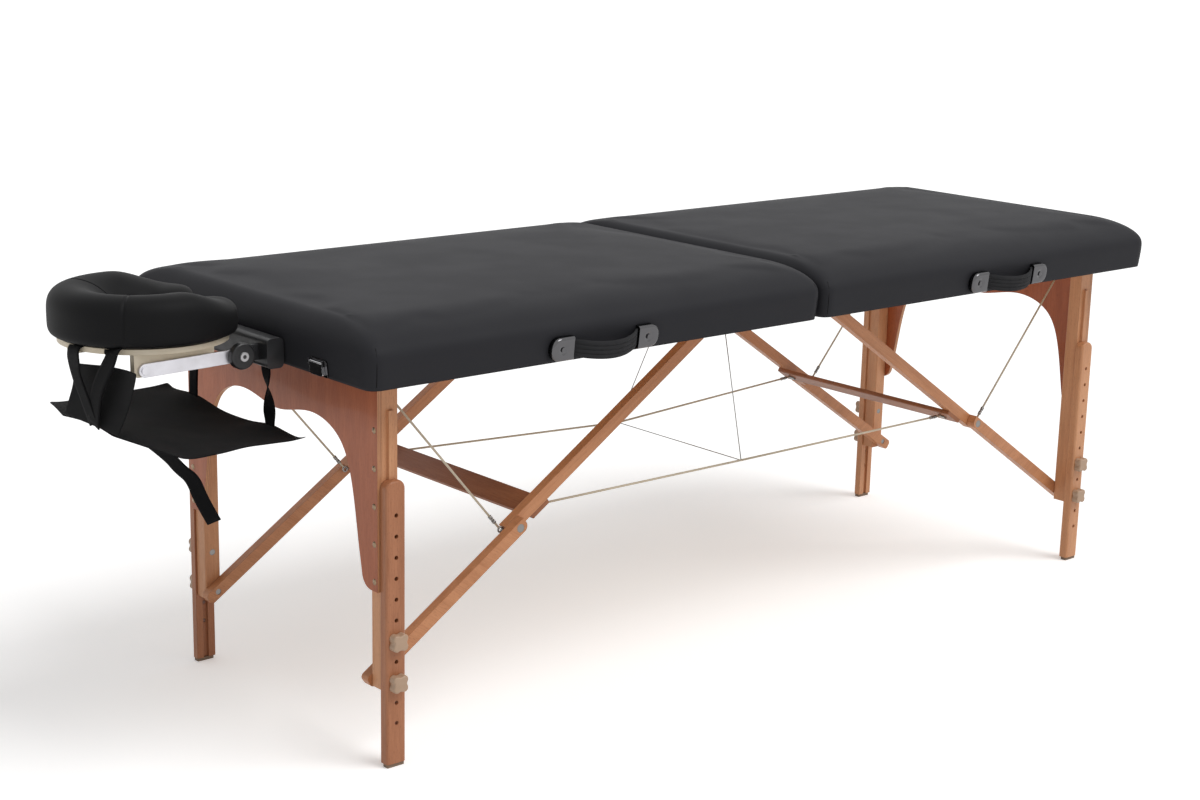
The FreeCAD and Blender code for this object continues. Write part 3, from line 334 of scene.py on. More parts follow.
def makePanelPly():
    # Stained faces, with pale plies showing on the sawn edge.
    material, tree, shader, coords = startMaterial("stainedPly", Specular_IOR_Level=0.35, Coat_Weight=0.1)
    upright = turnGrain(tree, coords, (0, -quarter, 0))
    face, edge = (placeBeech(tree, upright, tone) for tone in ("stain", "light"))
    normal, place = (addNode(tree, "SeparateXYZ", {"Vector": coords.outputs[kind]}).outputs["X"]
                     for kind in ("Normal", "Object"))
    facing = spread(tree, mathNode(tree, "ABSOLUTE", normal), 0.4, 0.6)
    stripe = spread(tree, mathNode(tree, "PINGPONG", place, plySettings["layer"]), 0.0006, 0.0010, 0.0, 0.5)
    edgeColour = mixColours(tree, stripe, edge.outputs["Color"], plySettings["glue"])
    feed(tree, shader, {"Base Color": mixColours(tree, facing, edgeColour, face.outputs["Color"]),
                        "Roughness": face.outputs["Rough"]})
    addBump(tree, shader, face.outputs["Height"], 0.1, 0.0005, 0.0008)
    return material


def makeVinyl(name, colour, gloss):
    material, tree, shader, coords = startMaterial(name, Base_Color=colour, Specular_IOR_Level=gloss)
    grain = placeGroup(tree, vinylGrain, coords.outputs["Object"], {"Size": 900.0})
    feed(tree, shader, {"Roughness": spread(tree, grain.outputs["Soft"], 0.2, 0.8, 0.56, 0.62)})
    addBump(tree, shader, grain.outputs["Height"], 0.22, 0.0004)
    return material


def makeMetal(name, colour, low, high, brush=None):
    material, tree, shader, coords = startMaterial(name, Metallic=1.0)
    vector = coords.outputs["Object"]
    marks = placeGroup(tree, handlingMarks, vector, {"Low": low, "High": high})
    dull = tuple(part * 0.82 for part in colour[:3]) + (1,)
    feed(tree, shader, {"Base Color": mixColours(tree, marks.outputs["Mask"], colour, dull),
                        "Roughness": marks.outputs["Rough"]})
    if brush:
        lines = addNode(tree, "Mapping", {"Scale": brush, "Vector": vector})
        scratch = addNode(tree, "TexNoise", {"Scale": 90.0, "Detail": 4.0, "Vector": lines.outputs[0]})
        addBump(tree, shader, scratch.outputs[0], 0.1, 0.0003, 0.0006)
    else:
        addBump(tree, shader, marks.outputs["Mask"], 0.05, 0.0004, 0.0005)
    return material


def makePlastic(name, colour, shade, low, high, stipple=700.0):
    material, tree, shader, coords = startMaterial(name, Specular_IOR_Level=0.45)
    vector = coords.outputs["Object"]
    marks = placeGroup(tree, handlingMarks, vector, {"Low": low, "High": high})
    feed(tree, shader, {"Base Color": mixColours(tree, marks.outputs["Mask"], colour, shade),
                        "Roughness": marks.outputs["Rough"]})
    pits = addNode(tree, "TexNoise", {"Scale": stipple, "Detail": 2.0, "Vector": vector})
    addBump(tree, shader, pits.outputs[0], 0.12, 0.0004, 0.0006)
    return material


def makeCloth(name, colour, shade, threads, coordinate="Object"):
    material, tree, shader, coords = startMaterial(
        name, Specular_IOR_Level=0.08, Roughness=0.8, Sheen_Weight=0.02)
    weave = placeGroup(tree, plainWeave, coords.outputs[coordinate], {"Threads": threads})
    feed(tree, shader, {"Base Color": mixColours(tree, weave.outputs["Shade"], colour, shade)})
    addBump(tree, shader, weave.outputs["Height"], 0.5, 0.0005)
    return material


clampSettings = {
    "place": (-0.995, 0.0, 0.631),
    "boltRadius": 0.0070,
    "socketRadius": 0.0030,
    "soft": 0.0003,
    "plastic": (0.013, 0.013, 0.014, 1),
    "boltFace": (0.5, 0.5, 0.51, 1),
    # painted shade: this dark colour stands in for the shade inside the bolt's socket
    "paintedSocketShade": (0.02, 0.02, 0.02, 1),
}


def makeClampDisc():
    # Black plastic with the steel face of a bolt at the middle of each disc, and a dark spot of painted
    # shade at the bolt's centre in place of its socket.
    use = clampSettings
    material, tree, shader, coords = startMaterial("clampDisc", Specular_IOR_Level=0.45)
    vector = coords.outputs["Object"]
    x, y, z = use["place"]
    fromAxis = addNode(tree, "Mapping", {"Location": (-x, 0, -z), "Scale": (1, 0, 1), "Vector": vector})
    away = addNode(tree, "VectorMath", {0: fromAxis.outputs[0]}, operation="LENGTH").outputs["Value"]
    # the socket mask places the painted socket shade over the bolt's face
    bolt, socket = (spread(tree, away, radius - use["soft"], radius + use["soft"], 1.0, 0.0)
                    for radius in (use["boltRadius"], use["socketRadius"]))
    marks = placeGroup(tree, handlingMarks, vector, {"Low": 0.28, "High": 0.45})
    colour = mixColours(tree, bolt, use["plastic"], use["boltFace"])
    feed(tree, shader, {"Base Color": mixColours(tree, socket, colour, use["paintedSocketShade"]),
                        "Metallic": mathNode(tree, "SUBTRACT", bolt, socket),
                        "Roughness": marks.outputs["Rough"]})
    addBump(tree, shader, marks.outputs["Mask"], 0.05, 0.0004, 0.0005)
    return material


finishTable = [
    (makeVinyl, {
        "blackVinyl": ((0.020, 0.020, 0.0232, 1), 0.12),
        "cushionVinyl": ((0.004, 0.004, 0.0045, 1), 0.13),
    }),
    (makeBeech, {
        "legBeech": ("light", (0, -quarter, 0)),
        "headExtension": ("red", (0, -quarter, 0), (0.3, 0.2, 0.1)),
        "footExtension": ("light", (0, -quarter, 0), (0.3, 0.2, 0.1)),
        "crossBeech": ("brown", (0, 0, quarter)),
        "railBeech": ("pale",),
        "deckPly": ("pale", (0, 0, quarter)),
    }),
    (makeMetal, {
        "steel": ((0.28, 0.27, 0.26, 1), 0.25, 0.42),
        # painted reflection: the chrome's base is darkened to stand in for the dark surroundings it mirrors
        "chrome": ((0.13, 0.128, 0.133, 1), 0.06, 0.16),
        "latchChrome": ((0.62, 0.62, 0.64, 1), 0.05, 0.14),
        "brass": ((0.30, 0.215, 0.14, 1), 0.2, 0.35),
        "aluminium": ((0.74, 0.73, 0.77, 1), 0.28, 0.4, (1.0, 14.0, 14.0)),
    }),
    (makePlastic, {
        "creamPlastic": ((0.48, 0.33, 0.23, 1), (0.39, 0.26, 0.17, 1), 0.35, 0.5),
        "creamPly": ((0.74, 0.66, 0.52, 1), (0.62, 0.52, 0.38, 1), 0.4, 0.55),
        "padRubber": ((0.26, 0.18, 0.12, 1), (0.18, 0.12, 0.08, 1), 0.6, 0.8, 300.0),
        "blackPlastic": ((0.012, 0.012, 0.013, 1), (0.02, 0.02, 0.022, 1), 0.3, 0.5),
        "cableCoat": ((0.66, 0.58, 0.45, 1), (0.5, 0.42, 0.31, 1), 0.35, 0.5, 900.0),
    }),
    (makeCloth, {
        "thread": ((0.004, 0.004, 0.004, 1), (0.007, 0.007, 0.007, 1), 900.0),
        "webbing": ((0.022, 0.022, 0.024, 1), (0.034, 0.034, 0.036, 1), 520.0),
        "slingCloth": ((0.004, 0.004, 0.0045, 1), (0.008, 0.008, 0.0085, 1), 300.0, "UV"),
        "slingWebbing": ((0.003, 0.003, 0.0035, 1), (0.006, 0.006, 0.0065, 1), 220.0, "UV"),
    }),
]
finishes = {"stainedPly": makePanelPly(), "clampDisc": makeClampDisc()}
for make, rows in finishTable:
    for name, values in rows.items():
        finishes[name] = make(name, *values)

nodeFinishes = {
    "deck": "deckPly", "frame_rails": "railBeech", "brackets": "steel", "hinge": "steel",
    "chrome": "chrome", "latch": "latchChrome", "upper_legs": "legBeech", "end_panel": "stainedPly",
    "panel_screws": "brass", "leg_bolts": "steel", "leg_extension_head": "headExtension",
    "leg_extension_foot": "footExtension", "foot_pad": "padRubber", "upper_knob": "creamPlastic",
    "lower_knob": "creamPlastic", "crossbar": "crossBeech", "brace_fittings": "steel",
    "knuckle_bolts": "steel", "cradle_base": "blackPlastic", "clamp_discs": "clampDisc",
    "cradle_arms": "aluminium", "face_platform": "creamPly", "cover": "blackVinyl", "foam": "creamPly",
    "handle_strap": "webbing", "face_cushion": "blackVinyl", "arm_sling": "slingCloth",
    "suspension_cables": "cableCoat", "cable_ties": "steel",
}
# slopes of the braces, from the pivots' places in millimetres, and a shift of their grain
braceSettings = {
    "upper": (math.atan2(647.0 - 319.09, 569.59 - 75.0), (0.1, 0.4, 0)),
    "lower": (-math.atan2(319.09 - 137.5, 843.5 - 569.59), (0.5, 0.1, 0)),
}
for brace, (slope, shift) in braceSettings.items():
    for half, sign in ends.items():
        finish = brace + "Brace_" + half
        finishes[finish] = makeBeech(finish, "warm", (0, sign * slope, 0), shift)
        nodeFinishes[brace + "_braces_" + half] = finish

for node, piece in nodes.items():
    finish = next(nodeFinishes[start] for start in nodeFinishes if node.startswith(start))
    piece.data.materials.clear()
    piece.data.materials.append(finishes[finish])
print("finishes given to", len(nodes), "nodes")

# Tools for new pieces


def finishPiece(name, bm, finish, body=None):
    bmesh.ops.recalc_face_normals(bm, faces=bm.faces)
    mesh = bpy.data.meshes.new(name)
    bm.to_mesh(mesh)
    bm.free()
    mesh.materials.append(finishes[finish])
    mesh.shade_smooth()
    piece = addObject(name, mesh)
    if body:
        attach(piece, body)
    return piece


def addSubdivision(piece):
    modifier = piece.modifiers.new("smoother", "SUBSURF")
    modifier.levels = modifier.render_levels = 1


def addWall(piece, thickness, offset=-1.0):
    modifier = piece.modifiers.new("wall", "SOLIDIFY")
    modifier.thickness = thickness
    modifier.offset = offset


swellSettings = {
    "quality": 6,
    "mass": 0.4,
    "use_pressure": True,
    "vertex_group_mass": "held",
}


def swell(piece, held, settings):
    # Blows a cushion up a little with the held points fixed. No point moves in, or out past the limit.
    mesh = piece.data
    group = piece.vertex_groups.new(name="held")
    group.add(held, 1.0, "REPLACE")
    cloth = piece.modifiers.new("swell", "CLOTH")
    stretch = settings["stretch"]
    values = {
        **swellSettings, "tension_stiffness": stretch, "compression_stiffness": stretch,
        "shear_stiffness": stretch / 2, "bending_stiffness": settings["bend"],
        "uniform_pressure_force": settings["pressure"],
    }
    for key, value in values.items():
        setattr(cloth.settings, key, value)
    cloth.settings.effector_weights.gravity = 0.0
    cloth.collision_settings.use_collision = False
    cloth.point_cache.frame_start = 1
    cloth.point_cache.frame_end = settings["frames"]
    for step in range(1, settings["frames"] + 1):
        scene.frame_set(step)
    blown = piece.evaluated_get(bpy.context.evaluated_depsgraph_get())
    steps = [after.co - before.co for before, after in zip(mesh.vertices, blown.data.vertices)]
    piece.modifiers.remove(cloth)
    piece.vertex_groups.remove(group)
    outward = [vertex.normal.copy() for vertex in mesh.vertices]
    for vertex, step, normal in zip(mesh.vertices, steps, outward):
        step -= normal * min(0.0, step.dot(normal))
        vertex.co += step * min(1.0, settings["mostSwell"] / max(step.length, 1e-9))
    scene.frame_set(1)
    most = max(step.length for step in steps)
    print(piece.name, "swollen by up to", round(most * 1000, 1), "mm before the limit")


def rimOf(bm):
    # The points along the edge of a grid about the origin, in order round it.
    rim = (vertex for vertex in bm.verts if vertex.is_boundary)
    return sorted(rim, key=lambda vertex: math.atan2(vertex.co.y, vertex.co.x))


def growRing(bm, rim):
    # Copies the points of a rim and joins each pair to its copies by a face.
    ring = [bm.verts.new(vertex.co) for vertex in rim]
    for i in range(len(rim)):
        bm.faces.new((rim[i - 1], ring[i - 1], ring[i], rim[i]))
    return ring


def smoothLine(points, resolution, radius=0.0):
    # A mesh of the smooth line by a few points: a bare line, or a round tube where it has a radius.
    data = bpy.data.curves.new("route", "CURVE")
    data.dimensions = "3D"
    data.bevel_depth = radius
    data.bevel_resolution = 2
    data.use_fill_caps = True
    line = data.splines.new("NURBS")
    line.points.add(len(points) - 1)
    for point, place in zip(line.points, points):
        point.co = (*place, 1.0)
    line.order_u = 3
    line.use_endpoint_u = True
    line.resolution_u = resolution
    route = addObject("route", data)
    mesh = bpy.data.meshes.new_from_object(route.evaluated_get(bpy.context.evaluated_depsgraph_get()))
    bpy.data.objects.remove(route)
    return mesh


def makeThread(name, points, radius, body):
    bm = bmesh.new()
    bm.from_mesh(smoothLine(points, 4, radius))
    bmesh.ops.remove_doubles(bm, verts=bm.verts, dist=1e-6)
    finishPiece(name, bm, "thread", body)


# Padded top: one cover for each half

coverSettings = {
    "cell": 0.0125,
    "undersize": 0.0006,
    "cornerCrowd": 0.020,
    "crowdReach": 0.030,
    "sideCurve": 1.4,
    "edgeDepth": 0.044,
    "endRoll": 0.034,
    "sideRoll": 0.110,
    "edgeSteps": 12,
    "sideSteps": 5,
    "cornerRadius": 0.022,
    "rollCornerRadius": 0.030,
    "drawIn": 0.005,
    "crown": 0.003,
    "crownReach": 0.2,
    "wall": 0.0014,
    "stretch": 25.0,
    "bend": 1.0,
    "pressure": 3.0,
    "frames": 20,
    "mostSwell": 0.0035,
    "centreGap": 0.0002,
    "dimple": 0.0015,
    "dimpleReach": 0.01,
    "pressMargin": 0.004,
    "heldBelow": 0.012,
}
handleSettings = {
    "fromCentre": 0.494,
    "capSpacing": 0.174,
    "height": 0.633,
    "capHalfWidth": 0.021,
    "capHalfHeight": 0.018,
}
pressSettings = {
    "capReach": 0.03,
    "latch": (-0.218, 0.625),
    "latchReach": (0.03, 0.023, 0.013),
    "baseInset": 0.06,
    "baseReach": 0.1,
}


def roundCorner(x, y, halfX, halfY, radius):
    # Moves a point of a rectangle's edge onto the same rectangle with round corners.
    acrossX = abs(x) - (halfX - radius)
    acrossY = abs(y) - (halfY - radius)
    if acrossX <= 0 or acrossY <= 0:
        return x, y
    if acrossX > acrossY:
        angle = math.pi / 4 * acrossY / acrossX
    else:
        angle = math.pi / 2 - math.pi / 4 * acrossX / acrossY
    roundX = halfX - radius + radius * math.cos(angle)
    roundY = halfY - radius + radius * math.sin(angle)
    return math.copysign(roundX, x), math.copysign(roundY, y)


def crowded(share, half):
    # Moves the lines of an even grid together near its edges, where the cover's corners are round.
    use = coverSettings

    def pulled(away):
        return away - use["cornerCrowd"] * (1 - math.exp(-away / use["crowdReach"]))

    return math.copysign(1 - pulled((1 - abs(share)) * half) / pulled(half), share)


def coverRings(height):
    # Drop below the top, inset from the ends, inset from the sides and corner radius of each ring.
    use = coverSettings
    rings = []
    for step in range(1, use["edgeSteps"] + 1):
        angle = math.pi / 2 * step / use["edgeSteps"]
        share = 1 - math.sin(angle)
        radius = use["cornerRadius"] + (use["rollCornerRadius"] - use["cornerRadius"]) * share
        drop = use["edgeDepth"] * (1 - math.cos(angle))
        rings.append((drop, use["endRoll"] * share, use["sideRoll"] * share, radius))
    for step in range(1, use["sideSteps"] + 1):
        share = step / use["sideSteps"]
        inset = (use["drawIn"] - use["undersize"]) * share ** use["sideCurve"]
        drop = use["edgeDepth"] + (height - use["edgeDepth"]) * share
        rings.append((drop, inset, inset, use["cornerRadius"] - inset))
    return rings


def pressedPlaces(half):
    # Where hard fittings press the cover: the centre and the half sizes of each place.
    use, press = handleSettings, pressSettings
    sign = ends[half]
    places = []
    for side in (-1, 1):
        x = sign * use["fromCentre"] + side * use["capSpacing"] / 2
        places.append((Vector((x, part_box("cover_" + half)[0].y, use["height"])),
                       Vector((use["capHalfWidth"], press["capReach"], use["capHalfHeight"]))))
    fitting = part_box("chrome_fittings_" + half)
    endX = fitting[0].x if sign < 0 else fitting[1].x
    places.append((Vector((endX, *press["latch"])), Vector(press["latchReach"])))
    if half == "head":
        low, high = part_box("cradle_base")
        places.append((Vector((high.x - press["baseInset"], 0, (low.z + high.z) / 2)),
                       Vector((press["baseReach"], (high.y - low.y) / 2, (high.z - low.z) / 2))))
    return places


def makeCover(half):
    use = coverSettings
    low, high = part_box("cover_" + half)
    centre = (low + high) / 2
    halfX = (high.x - low.x) / 2 - use["undersize"]
    halfY = (high.y - low.y) / 2 - use["undersize"]
    topZ = high.z - use["crown"] - use["undersize"]
    flatX = halfX - use["endRoll"]
    flatY = halfY - use["sideRoll"]
    bm = startGrid(round(2 * flatX / use["cell"]), round(2 * flatY / use["cell"]))
    home = {vertex: (crowded(vertex.co.x, flatX), crowded(vertex.co.y, flatY)) for vertex in bm.verts}
    for vertex, (x, y) in home.items():
        inward = min((1 - abs(x)) * flatX, (1 - abs(y)) * flatY)
        rise = use["crown"] * (1 - (1 - min(1, inward / use["crownReach"])) ** 2)
        vertex.co = (x * flatX, y * flatY, topZ + rise)
    rim = rimOf(bm)
    shares = [home[vertex] for vertex in rim]
    for drop, fromEnd, fromSide, radius in coverRings(topZ - low.z):
        rim = growRing(bm, rim)
        spanX, spanY = halfX - fromEnd, halfY - fromSide
        for vertex, (x, y) in zip(rim, shares):
            vertex.co = (*roundCorner(x * spanX, y * spanY, spanX, spanY, radius), topZ - drop)
    bmesh.ops.translate(bm, vec=(centre.x, centre.y, 0), verts=bm.verts)
    bm.verts.index_update()
    hem = low.z + use["heldBelow"]
    held = [vertex.index for vertex in bm.verts if vertex.co.z < hem]
    for place, reach in pressedPlaces(half):
        for vertex in bm.verts:
            away = vertex.co - place
            over = max(abs(away[i]) - reach[i] for i in range(3))
            if over < use["pressMargin"]:
                held.append(vertex.index)
                onSide = abs(vertex.co.y - low.y) < use["dimpleReach"]
                if over < 0 and vertex.co.z > hem and onSide:
                    vertex.co.y += use["dimple"]
    piece = finishPiece("cover_" + half + "_vinyl", bm, "blackVinyl")
    swell(piece, sorted(set(held)), use)
    for vertex in piece.data.vertices:
        beyond = use["centreGap"] - vertex.co.x * ends[half]
        vertex.co.x += ends[half] * max(0.0, beyond)
    addSubdivision(piece)
    addWall(piece, use["wall"])
    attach(piece, "half_" + half)
    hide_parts("cover_" + half, "foam_" + half)
    return piece


seamSettings = {
    "radius": 0.0007,
    "fromCorner": 0.013,
    "heights": (0.616, 0.630, 0.645, 0.660, 0.672, 0.684),
    "sunk": 0.0002,
}


def makeCornerSeams(half, cover):
    # The stitched fold beside each upright corner of a cover, laid on its surface.
    use = seamSettings
    low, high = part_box("cover_" + half)
    centreX, endX = (low.x, high.x) if half == "foot" else (high.x, low.x)
    for end, x in (("centre", centreX), ("end", endX)):
        inward = math.copysign(use["fromCorner"], (low.x + high.x) / 2 - x)
        for side, y in (("near", low.y), ("far", high.y)):
            points = []
            for height in use["heights"]:
                found, place, normal, face = cover.closest_point_on_mesh(Vector((x + inward, y, height)))
                points.append(place - normal * use["sunk"])
            makeThread("_".join(("cover_seam", half, end, side)), points, use["radius"], "half_" + half)


covers = {half: makeCover(half) for half in ends}
for half, cover in covers.items():
    makeCornerSeams(half, cover)
print("covers made")

# Face cushion

cushionSettings = {
    "ringCentre": (-1.092, 0.0),
    "ringRadius": 0.0975,
    "halfWidth": 0.0425,
    "gap": 0.044,
    "backWiden": 0.45,
    "squareTop": 2.7,
    "squareFoot": 6.0,
    "proud": 0.008,
    "dish": 0.030,
    "dishFrom": 0.1,
    "dishCurve": 1.6,
    "armDrop": 0.022,
    "armDropFrom": 92,
    "armDropReach": 48,
    "undersize": 0.0005,
    "around": 40,
    "along": 64,
    "capTurns": (82, 68, 54, 40, 26, 12),
    "capSquare": 4,
    "seamTurns": (130, 230),
    "seamHalfWidths": (0.0005, 0.0018, 0.004, 0.008),
    "seamReach": 0.0011,
    "seamDepth": 0.0022,
    "seamDown": -0.2,
    "seamFade": 4,
    "heldBelow": 0.008,
    "stretch": 20.0,
    "bend": 0.6,
    "pressure": 3.0,
    "frames": 15,
    "mostSwell": 0.003,
}


def cushionStations():
    # For each section: its turn about the ring's centre, reach past the ring's end and share of full size.
    use = cushionSettings
    first = math.asin((use["gap"] / 2 + use["halfWidth"]) / use["ringRadius"])
    last = 2 * math.pi - first
    turns = [first + (last - first) * step / use["along"] for step in range(use["along"] + 1)]
    for seam in use["seamTurns"]:
        for away in use["seamHalfWidths"]:
            for side in (-1, 1):
                turns.append(math.radians(seam) + side * away / use["ringRadius"])
    rows = [(turn, 0.0, 1.0) for turn in sorted(turns)]
    caps = [(math.sin(math.radians(cap)), math.cos(math.radians(cap))) for cap in use["capTurns"]]
    return ([(first, -reach, share) for reach, share in caps] + rows
            + [(last, reach, share) for reach, share in reversed(caps)])


def cushionSection(turn, reach, share, low, high):
    # One section of the ring: a squarish loop, with its top sloping down towards the hole.
    use = cushionSettings
    centreX, centreY = use["ringCentre"]
    outward = Vector((math.cos(turn), math.sin(turn), 0))
    ahead = Vector((-math.sin(turn), math.cos(turn), 0))
    middle = Vector((centreX, centreY, 0)) + outward * use["ringRadius"] + ahead * reach * use["halfWidth"]
    middleZ = (low + high + use["proud"]) / 2
    height = (high + use["proud"] - low) / 2 - use["undersize"]
    height *= (1 - abs(reach) ** use["capSquare"]) ** (1 / use["capSquare"])
    widen = 1 + use["backWiden"] * (1 - math.cos(turn)) / 2
    fromBack = abs(math.degrees(turn) - 180) - use["armDropFrom"]
    along = max(0.0, min(1.0, fromBack / use["armDropReach"]))
    droop = use["armDrop"] * along * along * (3 - 2 * along)
    dish = use["dish"] * (1 - math.cos(turn)) / 2
    points = []
    for step in range(use["around"]):
        angle = 2 * math.pi * step / use["around"]
        squareness = use["squareTop"] if math.sin(angle) > 0 else use["squareFoot"]
        across, up = (math.copysign(abs(part) ** (2 / squareness), part)
                      for part in (math.cos(angle), math.sin(angle)))
        inner = max(0.0, min(1.0, (use["dishFrom"] - across) / (1 + use["dishFrom"])))
        slope = (dish * inner ** use["dishCurve"] + droop) * (up + 1) / 2
        width = (use["halfWidth"] - use["undersize"]) * (1 if across > 0 else widen)
        raised = Vector((0, 0, middleZ + up * height - slope))
        points.append(middle + outward * across * width * share + raised)
    return points


def pressSeams(mesh):
    # Stitched lines across the ring: narrow grooves in its upper side.
    use = cushionSettings
    centreX, centreY = use["ringCentre"]
    normals = [vertex.normal.copy() for vertex in mesh.vertices]
    for vertex, normal in zip(mesh.vertices, normals):
        turn = math.atan2(vertex.co.y - centreY, vertex.co.x - centreX) % (2 * math.pi)
        for seam in use["seamTurns"]:
            away = (turn - math.radians(seam)) * use["ringRadius"] / use["seamReach"]
            if normal.z > use["seamDown"] and abs(away) < use["seamFade"]:
                vertex.co -= normal * use["seamDepth"] * math.exp(-away * away)


def makeFaceCushion():
    use = cushionSettings
    low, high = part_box("face_cushion")
    bm = bmesh.new()
    loops = []
    for station in cushionStations():
        loops.append([bm.verts.new(point) for point in cushionSection(*station, low.z, high.z)])
    for before, after in zip(loops, loops[1:]):
        for i in range(use["around"]):
            j = (i + 1) % use["around"]
            bm.faces.new((before[i], before[j], after[j], after[i]))
    bm.faces.new(loops[0])
    bm.faces.new(loops[-1])
    bm.verts.index_update()
    held = [vertex.index for vertex in bm.verts if vertex.co.z < low.z + use["heldBelow"]]
    piece = finishPiece("face_cushion_vinyl", bm, "cushionVinyl")
    swell(piece, held, use)
    pressSeams(piece.data)
    addSubdivision(piece)
    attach(piece, "face_rest")
    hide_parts("face_cushion")


makeFaceCushion()
print("face cushion made")

# Handle straps: padded bands with stitched ribs

strapSettings = {
    "half": 0.0995,
    "grip": 0.0655,
    "width": 0.027,
    "thickness": 0.0042,
    "ribs": 4,
    "ribHeight": 0.0026,
    "ribCurve": 0.6,
    "ribFade": 3,
    "edgeThin": 0.35,
    "edgeCurve": 8,
    "bow": 0.024,
    "sag": 0.0045,
    "lean": 6.2,
    "along": 60,
    "across": 24,
}


def makeStrap(half):
    use = strapSettings
    low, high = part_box("handle_strap_" + half)
    middle = (low.x + high.x) / 2
    lean = math.radians(use["lean"])
    back = high.y - use["thickness"]
    bm = startGrid(use["along"], use["across"])
    for vertex in bm.verts:
        along, across = vertex.co.x, vertex.co.y
        x = along * use["half"]
        bend = max(0.0, 1 - (x / use["grip"]) ** 2)
        rib = use["ribHeight"] * abs(math.sin(math.pi * use["ribs"] * (across + 1) / 2)) ** use["ribCurve"]
        edge = 1 - use["edgeThin"] * across ** use["edgeCurve"]
        out = use["bow"] * bend + rib * edge * min(1, bend * use["ribFade"])
        up = across * use["width"] / 2 - use["sag"] * bend
        vertex.co = (middle + x, back - out * math.cos(lean) - up * math.sin(lean),
                     handleSettings["height"] + up * math.cos(lean) - out * math.sin(lean))
    piece = finishPiece("handle_strap_" + half + "_webbing", bm, "webbing", "half_" + half)
    addWall(piece, use["thickness"], 0.0)
    addSubdivision(piece)
    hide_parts("handle_strap_" + half)


for half in ends:
    makeStrap(half)
print("handle straps made")

# Handle caps: drawn shells over the ends of each strap, dished round the rivet

capSettings = {
    "grow": 0.0005,
    "depth": 0.0090,
    "nose": 0.0165,
    "proud": 0.0019,
    "roll": 0.0045,
    "lipRoll": 0.0012,
    "dishRadius": 0.0105,
    "dishDepth": 0.0015,
    "rivetFrom": 0.0042,
    "along": 40,
    "across": 34,
    "wall": 0.0003,
    "plate": 0.0020,
    "backGap": 0.0003,
    "rim": 0.999,
    "faceY": -0.34889,
}


def rollDrop(inward, radius):
    # How far a rolled edge lies below its top, at a distance in from the edge.
    short = max(0.0, radius - inward)
    return radius - math.sqrt(max(0.0, radius * radius - short * short))


def makeHandleCap(half, name, side):
    use = capSettings
    sign = ends[half]
    outward = sign * side
    centreX = sign * handleSettings["fromCentre"] + outward * handleSettings["capSpacing"] / 2
    halfWidth = handleSettings["capHalfWidth"]
    halfHeight = handleSettings["capHalfHeight"] + use["grow"]
    noseX = halfWidth + use["grow"]
    place = Matrix.Translation((0, use["faceY"], handleSettings["height"]))
    place @= Matrix.Rotation(math.radians(strapSettings["lean"]), 4, "X")
    bm = startGrid(use["along"], use["across"])
    skirt = set(growRing(bm, rimOf(bm)))
    for vertex in bm.verts:
        along = math.sin(vertex.co.x * math.pi / 2)
        across = math.sin(vertex.co.y * math.pi / 2)
        x = -halfWidth + (along + 1) / 2 * (halfWidth + noseX)
        past = max(0.0, x - (noseX - use["nose"]))
        z = across * (halfHeight - use["nose"] + math.sqrt(max(0.0, use["nose"] ** 2 - past * past)))
        corner = max(0.0, abs(z) - (halfHeight - use["nose"]))
        inward = min(halfHeight - abs(z), noseX - x)
        if past and corner:
            inward = use["nose"] - math.hypot(past, corner)
        drop = max(rollDrop(inward, use["roll"]), rollDrop(x + halfWidth, use["lipRoll"]))
        near = (use["dishRadius"] - math.hypot(x, z)) / (use["dishRadius"] - use["rivetFrom"])
        near = min(1.0, max(0.0, near))
        height = use["depth"] + use["proud"] - drop - use["dishDepth"] * near * near * (3 - 2 * near)
        if vertex in skirt:
            mouth = along < -use["rim"] and abs(across) < use["rim"]
            height = use["depth"] - use["plate"] if mouth else 0.0
        vertex.co = place @ Vector((centreX + outward * x, -use["backGap"] - height, z))
    piece = finishPiece("handle_cap_" + half + "_" + name, bm, "chrome", "half_" + half)
    addWall(piece, use["wall"])


for half in ends:
    makeHandleCap(half, "inner", -1)
    makeHandleCap(half, "outer", 1)
print("handle caps made")

# Arm sling under the face cradle: panel, upturned flap, straps and loose tail

slingSettings = {
    "endX": -0.930,
    "underside": 0.611,
    # distance from the table's end, half width, height of the edges and of the middle
    "stations": [(0.012, 0.206, -0.096, -0.100), (0.130, 0.206, -0.091, -0.105),
                 (0.220, 0.206, -0.096, -0.087), (0.260, 0.075, -0.076, -0.073)],
    "cloth": 0.0018,
    "panelGrid": (36, 56),
    "panelMap": (0.248, 0.412),
    "seamAllowance": 0.012,
    "pull": 0.007,
    "pullReach": 0.05,
    "tipCurl": 0.006,
    "tipFrom": 0.86,
    "tipReach": 0.25,
    # how close the folds lie along and across the panel, which draw of the noise, and how high they are
    "folds": ((9, 7, 3.1, 0.004), (25, 16, 7.7, 0.0012)),
    "strapY": 0.113,
    "strapX": -0.948,
    "strapWidth": 0.024,
    "strapTop": 0.6072,
    # share of the full way out and share of the drop, down a strap
    "strapPath": ((0.92, 0.0), (0.96, 0.38), (1.0, 0.75), (1.0, 1.0)),
    "strapPinch": 0.35,
    "yokeWidth": 0.030,
    "tailWidth": 0.022,
    "tailTurns": (-35.0, -55.0),
    "flapFoot": ((0.070, -0.077), (-0.098, -0.076)),
    "flapHead": ((0.042, 0.006), (-0.060, 0.020), (-0.152, 0.026)),
    "flapX": -1.1900,
    "flapBulge": 0.010,
    "flapTurn": 0.8,
    "flapEdge": 0.6,
    "flapRipple": (3.2, 2.1, 5.5, 0.004),
    "flapGrid": (20, 16),
    "flapMap": (0.190, 0.110),
    "mountToArms": {"start": (-0.965, 0, 0.52), "end": (-1.150, 0, 0.52)},
    "armsToFace": {"start": (-1.19, 0, 0.545), "end": (-1.19, 0, 0.645)},
}
